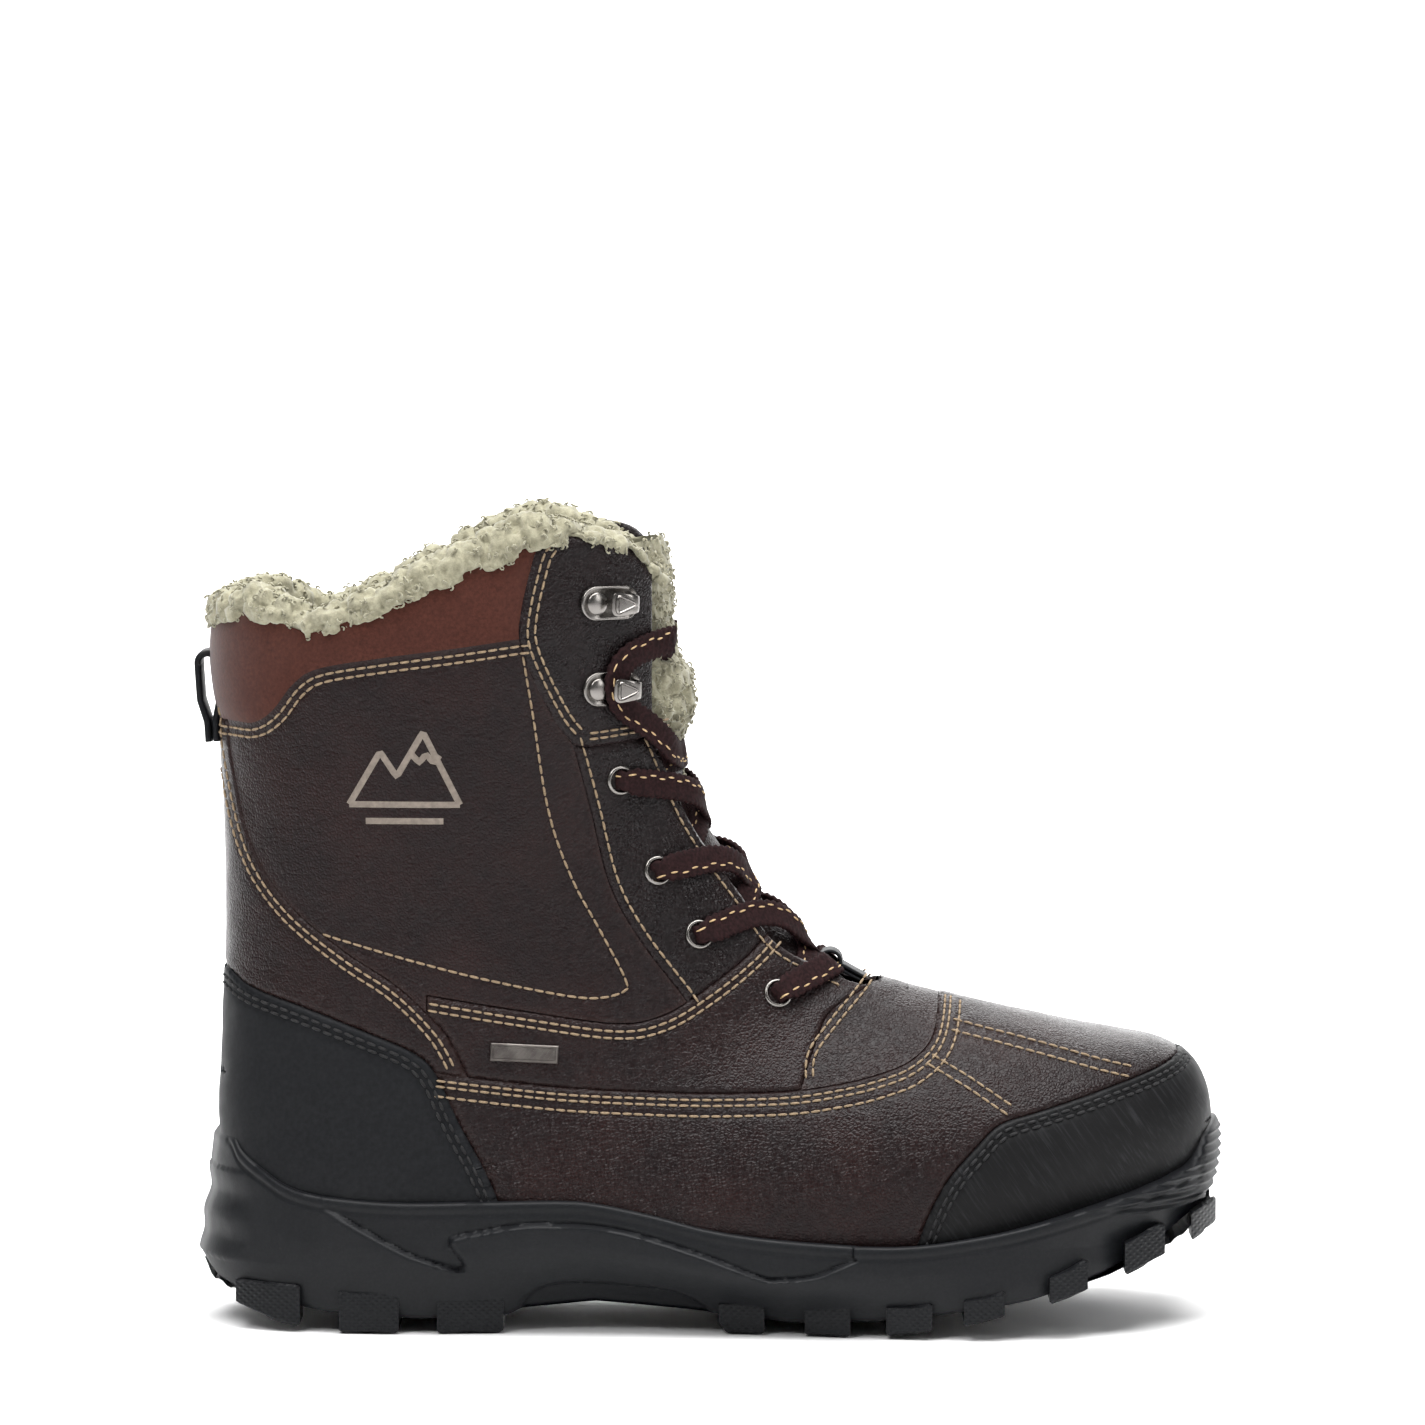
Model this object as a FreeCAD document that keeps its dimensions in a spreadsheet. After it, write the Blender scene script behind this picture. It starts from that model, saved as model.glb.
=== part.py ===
"""A laced winter boot for the right foot: leather over a fleece lining, on a lugged rubber sole.

Frame: +X towards the toe, +Y towards the inner (medial) side, +Z up, millimetres.
Origin: on the ground, midway between the sole's extremes in X and in Y.
"""

import FreeCAD, Part
import math
import os

V = FreeCAD.Vector

doc = FreeCAD.newDocument("winter_boot")
sheet = doc.addObject("Spreadsheet::Sheet", "Sizes")
SIZES = {
    "boot_length": 314.0,     # heel to toe of the sole
    "leather": 1.8,           # thickness of the upper's overlays
    "skive": 0.5,             # how far the base panels lie below the overlays
    "stiffener": 1.0,         # heel counter and toe puff
    "insulation": 3.1,        # felt behind the leather
    "pile": 4.0,              # fleece lining
    "tongue_room": 5.5,       # space for the lace between the facings and the tongue
    "tongue_leather": 1.6,
    "tongue_pile": 3.6,
    "footbed": 4.5,           # removable insole
    "tread_plate": 7.0,
    "channel_width": 9.0,     # the two lengthwise channels of the tread
    "shank_length": 104.0,
    "shank_width": 14.0,
    "shank_thick": 1.6,
    "eyelet_outer": 4.5,
    "eyelet_bore": 3.1,
    "eyelet_barrel": 3.5,
    "eyelet_flange": 0.8,
    "hook_length": 20.6,
    "hook_width": 10.4,
    "hook_plate": 0.9,
    "hook_stem": 5.6,         # clear height under the claw
    "hook_claw": 7.4,         # length of the claw
    "hook_claw_width": 6.0,
    "rivet_head": 3.5,
    "rivet_dome": 1.3,
    "rivet_shank": 1.5,
    "badge_length": 20.4,
    "badge_height": 5.4,
    "badge_thick": 1.1,
    "lace_radius": 1.6,
    "aglet": 14.0,
    "loop_width": 18.0,
    "loop_strap": 1.7,
    "keeper_width": 13.0,
    "keeper_thick": 1.5,
    "keeper_bore": 2.4,
    "keeper_tail": 19.0,
}
for row, (alias, value) in enumerate(SIZES.items(), start=1):
    sheet.set(f"A{row}", alias)
    sheet.set(f"B{row}", str(value))
    sheet.setAlias(f"B{row}", alias)
doc.recompute()


def size(alias):
    return float(getattr(sheet, alias))


SCALE = size("boot_length") / 314.0     # the profiles below are drawn for a 314 mm sole
HALF_SPAN = 80.0 * SCALE                # cutters reach this far to each side

# depths of the plies below the outer surface
LEATHER = size("leather")
STIFF_IN = LEATHER + 0.1 + size("stiffener")
FELT_OUT = STIFF_IN + 0.15
FELT_IN = FELT_OUT + size("insulation")
PILE_OUT = FELT_IN + 0.15
PILE_IN = PILE_OUT + size("pile")
TONGUE_OUT = LEATHER + size("tongue_room")
TONGUE_MID = TONGUE_OUT + size("tongue_leather")
TONGUE_IN = TONGUE_MID + 0.1 + size("tongue_pile")

# ---- the last ---------------------------------------------------------------------------------
# Each station is a plane parallel to Y. Its trace in the side view runs from a point of the front
# profile to one of the back profile. half is the half width, mid the share of the trace at which
# it is widest, nose and tail the squareness of the two ends, and swing the sideways offset.
# front x, z, back x, z, half, mid, nose, tail, swing
STATIONS = [
    (-9.0, 262.0, -153.0, 250.0, 50.0, 0.52, 2.2, 2.3, 0.0),
    (-8.5, 222.0, -152.5, 207.0, 48.0, 0.52, 2.2, 2.3, 0.0),
    (-6.5, 188.0, -150.0, 172.0, 45.0, 0.53, 2.1, 2.3, 0.0),
    (0.5, 161.0, -149.0, 140.0, 42.0, 0.55, 2.0, 2.2, -0.5),
    (12.5, 142.0, -149.0, 112.0, 40.0, 0.58, 1.95, 2.2, -1.0),
    (28.0, 123.5, -149.6, 84.0, 39.0, 0.62, 1.95, 2.3, -1.5),
    (45.5, 108.0, -150.0, 57.0, 39.0, 0.64, 1.95, 2.5, -2.0),
    (59.0, 102.8, -143.0, 32.0, 40.0, 0.66, 2.0, 3.0, -2.5),
    (72.0, 99.4, -105.0, 25.0, 41.5, 0.68, 2.05, 3.6, -3.0),
    (85.0, 96.2, -55.0, 23.0, 44.5, 0.70, 2.1, 4.0, -3.0),
    (98.0, 93.2, -5.0, 20.5, 48.5, 0.72, 2.15, 4.2, -2.5),
    (111.0, 90.2, 42.0, 17.0, 51.5, 0.74, 2.2, 4.2, -1.0),
    (124.0, 87.6, 82.0, 18.5, 50.5, 0.75, 2.3, 4.0, 1.5),
    (136.0, 85.0, 112.0, 23.0, 43.5, 0.74, 2.3, 3.4, 4.0),
    (146.0, 80.0, 133.0, 31.0, 33.5, 0.72, 2.25, 2.8, 6.5),
    (152.0, 70.5, 146.0, 41.0, 21.5, 0.66, 2.2, 2.5, 8.0),
    (154.0, 60.0, 152.0, 50.0, 9.0, 0.55, 2.1, 2.1, 9.0),
]
LAST = len(STATIONS) - 1
RING_POINTS = 36


def station(s):
    """The nine figures of the station at s, by Catmull-Rom between the listed ones."""
    i = min(max(int(math.floor(s)), 0), LAST - 1)
    u = s - i
    around = [STATIONS[min(max(i + k, 0), LAST)] for k in (-1, 0, 1, 2)]
    figures = []
    for a, b, c, d in zip(*around):
        cubic = 2 * b + (c - a) * u + (2 * a - 5 * b + 4 * c - d) * u * u
        figures.append(0.5 * (cubic + (3 * b - a - 3 * c + d) * u ** 3))
    return figures


def slant(s, first):
    """How squarely a station's trace meets the front (first 0) or back (first 2) profile."""
    a = station(max(s - 0.2, 0.0))
    b = station(min(s + 0.2, LAST))
    here = station(s)
    along = V(b[first] - a[first], 0, b[first + 1] - a[first + 1]).normalize()
    trace = V(here[2] - here[0], 0, here[3] - here[1]).normalize()
    return max(along.cross(trace).Length, 0.6)


def section_point(s, turn, depth):
    """A point of the surface at depth. turn is 0 in front, 0.25 medial, 0.5 behind, 0.75 lateral."""
    fx, fz, bx, bz, half, mid, nose, tail, swing = station(s)
    front = V(fx, 0, fz)
    back = V(bx, 0, bz)
    trace = V(bx - fx, 0, bz - fz).normalize()
    front = front + trace * (depth / slant(s, 0))
    back = back - trace * (depth / slant(s, 2))
    c = math.cos(2 * math.pi * turn)
    d = math.sin(2 * math.pi * turn)
    power = nose if c > 0 else tail
    reach = abs(c) ** (2 / power)
    share = mid * (1 - reach) if c > 0 else mid + (1 - mid) * reach
    point = front + (back - front) * share
    point.y = math.copysign(max(half - depth, 2.0) * abs(d) ** (2 / power), d) + swing
    return point * SCALE


def toe_station(depth):
    """The station at which the surface at depth is closed off, depth short of the toe."""
    low, high = LAST - 4.0, float(LAST)
    for _ in range(30):
        middle = (low + high) / 2
        fx, _fz, bx, _bz = station(middle)[:4]
        if (fx + bx) / 2 < 153.0 - depth:
            low = middle
        else:
            high = middle
    return low


def last_solid(depth):
    """The closed volume inside the surface at depth: a periodic spline skin and two flat caps."""
    count = 2 * LAST
    toe = toe_station(depth)
    angles = [k / RING_POINTS for k in range(RING_POINTS + 1)]
    rings = []
    for k in range(count + 1):
        curve = Part.BSplineCurve()
        points = [section_point(toe * k / count, angle, depth) for angle in angles[:-1]]
        curve.interpolate(Points=points, Parameters=angles, PeriodicFlag=True)
        rings.append(curve)
    steps = [k / count for k in range(count + 1)]
    columns = []
    for i in range(rings[0].NbPoles):
        column = Part.BSplineCurve()
        column.interpolate(Points=[r.getPole(i + 1) for r in rings], Parameters=steps)
        columns.append(column)
    skin = Part.BSplineSurface()
    skin.buildFromPolesMultsKnots(
        [c.getPoles() for c in columns],
        rings[0].getMultiplicities(), columns[0].getMultiplicities(),
        rings[0].getKnots(), columns[0].getKnots(), True, False, 3, 3)
    caps = [Part.Face(Part.Wire(skin.vIso(end).toShape())) for end in (0.0, 1.0)]
    shell = Part.makeShell([skin.toShape()] + caps)
    shell.sewShape()
    return Part.makeSolid(Part.Shell(shell.Faces))


# ---- seams, drawn in the side view (x, z) -----------------------------------------------------
TOE_CAP_EDGE = [(146, 85.5), (141, 80), (119.7, 73.5), (99, 67.5), (87.3, 64), (80, 57.5), (70, 45.6),
                (62.4, 28.5), (59, 10)]
HEEL_GUARD_EDGE = [(-160, 110), (-148.8, 108), (-140, 103), (-122.4, 97.5), (-105.3, 91.2), (-90.3, 84.9),
                   (-83.4, 78.6), (-76.5, 64.2), (-64.5, 40.5), (-57, 10)]
MUDGUARD_EDGE = [(-84, 78.6), (-63.6, 76.2), (-42.9, 74.1), (-22.2, 73.1), (0, 72.6), (23.7, 73.4),
                 (40, 75.8), (50.7, 78.4), (60, 82), (66.9, 88.6), (69.6, 99.9), (70, 108)]
BACK_PANEL_EDGE = [(-147.5, 189), (-145.9, 172), (-139.5, 146.4), (-128.1, 129.3), (-111, 115.5),
                   (-94.8, 105), (-83.4, 94.2), (-77.7, 86.1), (-73, 76)]
QUARTER_TOP = [(-160, 184), (-145.5, 183.9), (-138.6, 183.9), (-132.6, 187.8), (-125.7, 196.4),
               (-117.9, 201),
               (-99.3, 204.3), (-76.5, 207.3), (-52, 210.8)]
INSTEP_TOP = [(-86, 102.4), (-56.7, 97.5), (-29.1, 93.5), (-15.3, 95.4), (-1.8, 102.9), (12, 113.4),
              (20, 122)]
VAMP_BACK = [(50.5, 108), (48, 102.9), (36.6, 96), (31.8, 87), (25.8, 70)]
FACING_BACK = [(-43, 181), (-40.8, 175), (-36.3, 157.8), (-30.6, 135), (-21.3, 117.9), (-8.1, 100.5),
               (-4, 94)]
THROAT_EDGE = [(-17.7, 181), (-14.1, 171.6), (-9.3, 160.2), (-4.8, 151.2), (2.1, 140.7), (9, 131.4),
               (17.1, 119.5), (24, 113.5), (30.9, 110), (44, 104), (52, 104)]
EYESTAY_BACK = [(-46, 243), (-51.5, 238), (-54.5, 229), (-57, 217.5), (-57.3, 209), (-53.4, 198),
                (-46.5, 184.5), (-41, 177.6)]
EYESTAY_FOOT = [(-41, 177.6), (-36.3, 177), (-26.1, 178.2), (-10, 180.4)]
COLLAR_TOP = [(-160, 214), (-151.8, 214.8), (-141.9, 217.4), (-134.7, 216.3), (-121.5, 212),
              (-113.4, 213.9),
              (-99, 219.3), (-87.9, 224.4), (-70.8, 231.3), (-50, 239.6), (-39.6, 240.6), (-30.6, 238.8),
              (-23.7, 236.1), (-17, 228.5), (-10, 222)]
BOTTOM = [(-160, 35), (-143, 31.6), (-105, 25.6), (-55, 23.4), (-5, 20.6), (42, 17.4), (82, 18.6),
          (112, 23),
          (133, 31), (146, 41), (160, 60)]
TONGUE_SIDE = [(-28, 172), (-21.5, 150), (-14, 138), (-2, 122), (11, 109), (28, 98.5), (47, 92.5)]
LINING_FRONT = [(-46, 176), (-37, 163), (-28, 139), (-16, 119.5), (0, 102), (16, 92), (51, 84)]
FEATHER = [(-150, 58.5), (-144.9, 52.8), (-136.5, 47.7), (-127.8, 43.2), (-116.4, 40.8),
           (-96, 39.4), (-69.9, 39.9), (-46.5, 40.4), (-34.8, 39.6), (-17.7, 36.3), (0, 32.1), (20, 29.4),
           (47.4, 27.6), (63, 27.9), (79.5, 30.3), (99, 34.2), (128.4, 41.4), (143.7, 46.2), (149, 49.4),
           (152, 56), (156.2, 59.4)]
HEEL_BACK = [(-150, 58.5), (-153, 55.8), (-153.6, 48.9), (-154.2, 39.6), (-155.6, 32), (-156.8, 24),
             (-157, 16.6)]
TOE_FRONT = [(156.2, 59.4), (157, 56), (157, 49), (155.2, 42), (153.6, 37.6)]
TREAD_TOP = [(-157, 16.6), (-140, 15), (-120, 14), (-62, 12.5), (-40, 14), (0, 13.5), (40, 11),
             (72, 14), (96, 18.5),
             (120, 25), (143, 33.2), (153.6, 37.6)]
GROUND = [(-160, 12), (-144, 7), (-132, 3), (-116, 0), (-62, 0), (-58, 6), (-45, 8.6), (0, 8.0), (1.4, 4),
          (4, 0), (45, 0), (62, 1.6), (82, 5.4), (108, 12.4), (131, 20.2), (150, 28.2), (160, 33)]

# half widths of the sole: x, lateral, medial
SOLE_PLAN = [(-157, 0, 0), (-153.5, 15, 15), (-146, 27, 27), (-134, 35.5, 35.5), (-115, 41, 41),
             (-90, 42.5, 42),
             (-60, 41, 39), (-25, 40, 35), (10, 43.5, 38), (45, 51, 46), (70, 56, 53), (92, 57, 57),
             (112, 52, 56), (130, 41, 50), (144, 27, 40), (153, 9, 27), (156.6, -6, 17), (157, -11, 11)]


def spline(points):
    """A smooth curve through side-view points."""
    curve = Part.BSplineCurve()
    curve.interpolate([V(x, 0, z) * SCALE for x, z in points])
    return curve.toShape()


def straight(points):
    """Straight edges through side-view points."""
    return Part.makePolygon([V(x, 0, z) * SCALE for x, z in points]).Edges


def prism(edge, corners, side=0):
    """A cutter with one curved edge, closed through corners. side: -1 lateral, 1 medial, 0 both."""
    first = edge.Vertexes[0].Point * (1 / SCALE)
    last = edge.Vertexes[-1].Point * (1 / SCALE)
    rest = straight([(last.x, last.z)] + corners + [(first.x, first.z)])
    return sweep_y([edge] + rest, side)


def sweep_y(edges, side=0):
    """Extrude a closed side-view outline across the boot, or to one side only."""
    face = Part.Face(Part.Wire(Part.sortEdges(edges)[0]))
    low = 0.0 if side > 0 else -HALF_SPAN
    high = 0.0 if side < 0 else HALF_SPAN
    face.translate(V(0, low, 0))
    return face.extrude(V(0, high - low, 0))


def feature(label, shape):
    """A sub-part whose shape no feature of the tree can make; it is at home at the origin."""
    made = doc.addObject("Part::Feature", label)
    made.Label = label
    made.Shape = shape
    made.Placement = FreeCAD.Placement()
    parts.append(made)
    return made


def biggest(shape, least=30.0):
    """The solids of a boolean result without crumbs, as one shape."""
    solids = [s for s in shape.Solids if s.Volume > least]
    return solids[0] if len(solids) == 1 else Part.makeCompound(solids)


parts = []

outer = last_solid(0.0)
base_skin = last_solid(size("skive"))
leather_in = last_solid(LEATHER)
stiff_out = last_solid(LEATHER + 0.1)
stiff_in = last_solid(STIFF_IN)
felt_out = last_solid(FELT_OUT)
felt_in = last_solid(FELT_IN)
pile_out = last_solid(PILE_OUT)
pile_in = last_solid(PILE_IN)

above_collar = prism(spline(COLLAR_TOP), [(-10, 300), (-160, 300)])
below_floor = prism(spline([(x, z + STIFF_IN) for x, z in BOTTOM]), [(160, -10), (-160, -10)])
throat = prism(spline(THROAT_EDGE), [(70, 150), (70, 300), (-17.7, 300)])
lining_front = prism(spline(LINING_FRONT), [(56, 130), (56, 300), (-46, 300)])

# ---- leather upper ----------------------------------------------------------------------------
shell = outer.cut(leather_in).cut(above_collar).cut(below_floor).cut(throat)


def take(whole, label, region, overlay=True, sides=(0,)):
    """Make a panel of the part of the whole shell inside region, and return the rest."""
    piece = whole.common(region)
    if not overlay:
        piece = piece.common(base_skin)
    for side in sides:
        half = piece
        if side:
            half = piece.common(Part.makeBox(400, 100, 400, V(-200, 0 if side > 0 else -100, -50)))
        feature(label + {0: "", -1: "_lateral", 1: "_medial"}[side], biggest(half))
    return whole.cut(region)


shell = take(shell, "toe_cap", prism(spline(TOE_CAP_EDGE), [(180, 10), (180, 85.5)]))
shell = take(shell, "heel_guard", prism(spline(HEEL_GUARD_EDGE), [(-180, 10), (-180, 110)]))
shell = take(shell, "mudguard", prism(spline(MUDGUARD_EDGE), [(180, 108), (180, 0), (-100, 0),
    (-100, 78.6)]))
shell = take(shell, "vamp", prism(spline(VAMP_BACK), [(25.8, 60), (180, 60), (180, 108)]), overlay=False)
eyestay_outline = [spline(EYESTAY_BACK), spline(EYESTAY_FOOT)]
eyestay_outline += straight([EYESTAY_FOOT[-1], (0, 180.4), (0, 250), EYESTAY_BACK[0]])
shell = take(shell, "eyestay", sweep_y(eyestay_outline), sides=(-1, 1))
shell = take(shell, "collar", prism(spline(QUARTER_TOP), [(-30, 250), (-160, 250)]), overlay=False)
shell = take(shell, "back_panel", prism(spline(BACK_PANEL_EDGE), [(-180, 76), (-180, 189)]))
shell = take(shell, "instep", prism(spline(INSTEP_TOP), [(60, 122), (60, 60), (-86, 60)]),
             overlay=False, sides=(-1, 1))
shell = take(shell, "facing", prism(spline(FACING_BACK), [(60, 94), (60, 181)]), sides=(-1, 1))
shell = take(shell, "quarter", Part.makeBox(400, 200, 400, V(-200, -100, -50)),
             overlay=False, sides=(-1, 1))

# ---- stiffeners, insulation, lining -----------------------------------------------------------
stiff = stiff_out.cut(stiff_in).cut(below_floor)
feature("toe_puff", biggest(stiff.common(prism(spline([(104, 100), (101, 80), (94, 55), (88, 10)]),
                                               [(180, 10), (180, 100)]))))
feature("heel_counter", biggest(stiff.common(prism(spline([(-160, 104), (-130, 98), (-95, 80), (-78, 55),
                                                           (-66, 10)]), [(-180, 10), (-180, 104)]))))
feature("insulation", biggest(felt_out.cut(felt_in).cut(lining_front).cut(below_floor).cut(
    prism(spline([(x, z - 2) for x, z in COLLAR_TOP]), [(-10, 300), (-160, 300)]))))
trim_top = prism(spline([(x, z + 9) for x, z in COLLAR_TOP]), [(-10, 300), (-160, 300)])
lining = pile_out.cut(pile_in).cut(lining_front).cut(trim_top)
feature("lining", biggest(lining))
rim = outer.cut(pile_out).cut(lining_front).cut(trim_top).common(
    prism(spline([(x, z + 0.4) for x, z in COLLAR_TOP]), [(-10, 300), (-160, 300)]))
feature("collar_pile", biggest(rim))

board = outer.common(prism(spline([(x, z + STIFF_IN - 0.05) for x, z in BOTTOM]), [(160, -10),
    (-160, -10)]))
feature("lasting_board", biggest(board))
footbed_top = [(x, z + PILE_IN + size("footbed")) for x, z in BOTTOM]
feature("footbed", biggest(pile_in.common(prism(spline(footbed_top), [(160, -10), (-160, -10)]))))

# ---- tongue -----------------------------------------------------------------------------------
tongue_area = prism(spline(TONGUE_SIDE), [(49, 130), (49, 300), (-28, 300)])
tongue_area = tongue_area.cut(prism(spline([(-40, 240), (-28, 243.5), (-14, 243), (-2, 237)]),
                                    [(-2, 320), (-40, 320)]))
feature("tongue", biggest(last_solid(TONGUE_OUT).cut(last_solid(TONGUE_MID)).common(tongue_area)))
feature("tongue_pile", biggest(last_solid(TONGUE_MID + 0.1).cut(last_solid(TONGUE_IN)).common(tongue_area)))

# ---- sole -------------------------------------------------------------------------------------
outline = [(-157, 0)] + [(x, -lateral) for x, lateral, medial in SOLE_PLAN[1:]]
outline += [(x, medial) for x, lateral, medial in reversed(SOLE_PLAN[1:-1])]
plan_curve = Part.BSplineCurve()
plan_curve.interpolate(Points=[V(x, y, -10) * SCALE for x, y in outline], PeriodicFlag=True)
plan = Part.Face(Part.Wire(plan_curve.toShape())).extrude(V(0, 0, 140) * SCALE)

unit_profile = [spline(FEATHER), spline(TOE_FRONT), spline(TREAD_TOP[::-1]), spline(HEEL_BACK[::-1])]
unit = sweep_y(unit_profile).common(plan).cut(outer)
shank_box = Part.makeBox(size("shank_length"), size("shank_width"), 60, V(-92, -size("shank_width") / 2, 0))
shank_top = prism(spline([(x, z - 1.2) for x, z in BOTTOM]), [(160, -10), (-160, -10)])
shank_low = prism(spline([(x, z - 1.2 - size("shank_thick")) for x, z in BOTTOM]), [(160, -10),
    (-160, -10)])
shank = shank_top.cut(shank_low).common(shank_box)
feature("shank", biggest(shank))
feature("midsole", biggest(unit.cut(shank)))

tread_profile = [spline(TREAD_TOP)] + straight([TREAD_TOP[-1]] + GROUND[::-1] + [TREAD_TOP[0]])
tread = sweep_y(tread_profile).common(plan)
LUG_GAPS = [(-123.3, -112.5), (-93.3, -83.1), (17.7, 28.2), (43.2, 52.8), (67.5, 76), (90, 101),
            (114.3, 124),
            (137.1, 145)]
CHANNELS = [(-140, -60), (1, 140)]
cutters = [Part.makeBox(b - a, 200, 60, V(a, -100, -20)) for a, b in LUG_GAPS]
for a, b in CHANNELS:
    for y in (-22, 22 - size("channel_width")):
        cutters.append(Part.makeBox(b - a, size("channel_width"), 60, V(a, y, -20)))
plate_low = prism(spline([(x, z - size("tread_plate")) for x, z in TREAD_TOP]), [(160, -30), (-160, -30)])
for cutter in cutters:
    tread = tread.cut(cutter.common(plate_low))
feature("outsole", biggest(tread))

# ---- places on the upper ----------------------------------------------------------------------
def locate(x, z):
    """Station and turn, on the medial side, of the surface point seen at x, z in the side view."""
    low, high = 0.0, float(LAST)
    for _ in range(40):
        middle = (low + high) / 2
        fx, fz, bx, bz = station(middle)[:4]
        if (bx - fx) * (z - fz) - (bz - fz) * (x - fx) > 0:
            low = middle
        else:
            high = middle
    fx, fz, bx, bz, _half, mid, nose, tail, _swing = station(low)
    share = ((x - fx) * (bx - fx) + (z - fz) * (bz - fz)) / ((bx - fx) ** 2 + (bz - fz) ** 2)
    share = min(max(share, 0.0), 1.0)
    if share < mid:
        c = (1 - share / mid) ** (nose / 2)
    else:
        c = -((share - mid) / (1 - mid)) ** (tail / 2)
    return low, math.acos(c) / (2 * math.pi)


def normal(s, turn):
    """The outward normal of the upper's surface."""
    step = 0.004
    across = section_point(s, turn + step, 0) - section_point(s, turn - step, 0)
    along = section_point(min(s + 0.05, LAST), turn, 0) - section_point(max(s - 0.05, 0), turn, 0)
    return along.cross(across).normalize()


def above(s, turn, height):
    """A point at height over the upper's surface (negative: below it)."""
    return section_point(s, turn, 0) + normal(s, turn) * height


def seat(x, z, side, height=0.0, lean=0.0):
    """A placement on the upper: local Z outward, local X towards the toe, turned by lean."""
    s, turn = locate(x, z)
    turn = turn if side > 0 else -turn
    out = normal(s, turn)
    ahead = V(1, 0, 0) - out * out.x
    frame = FreeCAD.Rotation(ahead, V(0, 0, 0), out, "ZXY")
    return FreeCAD.Placement(above(s, turn, height), frame * FreeCAD.Rotation(V(0, 0, 1), lean))


def bind(kind, name, at=(0, 0, 0), rotation=None, **sizes):
    """A Part primitive whose sizes are expressions over the sheet."""
    made = doc.addObject(kind, name)
    for key, expression in sizes.items():
        made.setExpression(key, expression)
    made.Placement = FreeCAD.Placement(V(*at), rotation or FreeCAD.Rotation())
    return made


def combine(kind, name, base, tools):
    """Join several objects, or cut tools from base."""
    made = doc.addObject(kind, name)
    if kind == "Part::MultiFuse":
        made.Shapes = [base] + tools
    else:
        made.Base = base
        made.Tool = tools[0]
    return made


def finish(made, label, placement=FreeCAD.Placement()):
    made.Label = label
    made.Placement = placement
    parts.append(made)
    return made


SIDES = {"lateral": -1, "medial": 1}
EYELETS = [(-27.3, 166.5), (-16.2, 138.9), (-3.6, 119.4), (20.4, 101.2)]
HOOKS = [(-30.9, 220.5), (-30.2, 194.5)]
BADGE = (-56.4, 84.6)
HOOK_SINK = 0.5       # the hook's plate beds into the leather
RIVET_AT = -4.8       # along the hook's plate
STEM_AT = 5.2


def make_eyelet(name, placement):
    flange = bind("Part::Cylinder", name + "_flange", Radius="Sizes.eyelet_outer",
                  Height="Sizes.eyelet_flange")
    barrel = bind("Part::Cylinder", name + "_barrel", (0, 0, -LEATHER - 0.3), Radius="Sizes.eyelet_barrel",
                  Height="Sizes.leather + 0.3")
    roll = bind("Part::Cylinder", name + "_roll", (0, 0, -LEATHER - 0.6),
                Radius="Sizes.eyelet_barrel + 0.7",
                Height="0.4")
    solid = combine("Part::MultiFuse", name + "_solid", flange, [barrel, roll])
    bore = bind("Part::Cylinder", name + "_bore", (0, 0, -LEATHER - 2), Radius="Sizes.eyelet_bore",
                Height="Sizes.leather + 6")
    return finish(combine("Part::Cut", name, solid, [bore]), name, placement)


def make_hook(name, placement):
    half = size("hook_width") / 2
    reach = size("hook_length") / 2 - half
    plate = bind("Part::Box", name + "_plate", (-reach, -half, 0),
                 Length="Sizes.hook_length - Sizes.hook_width",
                 Width="Sizes.hook_width", Height="Sizes.hook_plate")
    ends = [bind("Part::Cylinder", f"{name}_end{i}", (x, 0, 0), Radius="Sizes.hook_width / 2",
                 Height="Sizes.hook_plate") for i, x in enumerate((-reach, reach))]
    stem = bind("Part::Box", name + "_stem", (STEM_AT, -size("hook_claw_width") / 2, 0),
                Length="1.0", Width="Sizes.hook_claw_width", Height="Sizes.hook_plate + Sizes.hook_stem")
    top = size("hook_plate") + size("hook_stem")
    claw = bind("Part::Wedge", name + "_claw", (STEM_AT + 1.0, 0, top - 0.01),
                FreeCAD.Rotation(V(0, -1, 0), V(0, 0, 1), V(-1, 0, 0), "ZXY"),
                Xmin="-Sizes.hook_claw_width / 2", Xmax="Sizes.hook_claw_width / 2",
                X2min="-1.2", X2max="1.2",
                Ymin="0", Ymax="1.0", Zmin="0", Zmax="Sizes.hook_claw", Z2min="0", Z2max="Sizes.hook_claw")
    solid = combine("Part::MultiFuse", name + "_solid", plate, ends + [stem, claw])
    bore = bind("Part::Cylinder", name + "_bore", (RIVET_AT, 0, -1), Radius="Sizes.rivet_shank",
                Height="Sizes.hook_plate + 2")
    return finish(combine("Part::Cut", name, solid, [bore]), name, placement)


def make_rivet(name, placement):
    at = size("hook_plate")
    head = bind("Part::Cylinder", name + "_head", (RIVET_AT, 0, at), Radius="Sizes.rivet_head",
                Height="Sizes.rivet_dome / 2")
    dome = bind("Part::Cone", name + "_dome", (RIVET_AT, 0, at + size("rivet_dome") / 2),
                Radius1="Sizes.rivet_head", Radius2="Sizes.rivet_head * 0.55", Height="Sizes.rivet_dome / 2")
    shank = bind("Part::Cylinder", name + "_shank", (RIVET_AT, 0, -LEATHER + HOOK_SINK),
                 Radius="Sizes.rivet_shank", Height="Sizes.hook_plate + Sizes.leather - 0.5")
    return finish(combine("Part::MultiFuse", name, head, [dome, shank]), name, placement)


def panel(label):
    return next(p for p in parts if p.Label == label)


def pierce(label, tool):
    """Cut a fitting's seat out of a panel."""
    target = panel(label)
    target.Shape = biggest(target.Shape.cut(tool))


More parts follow.
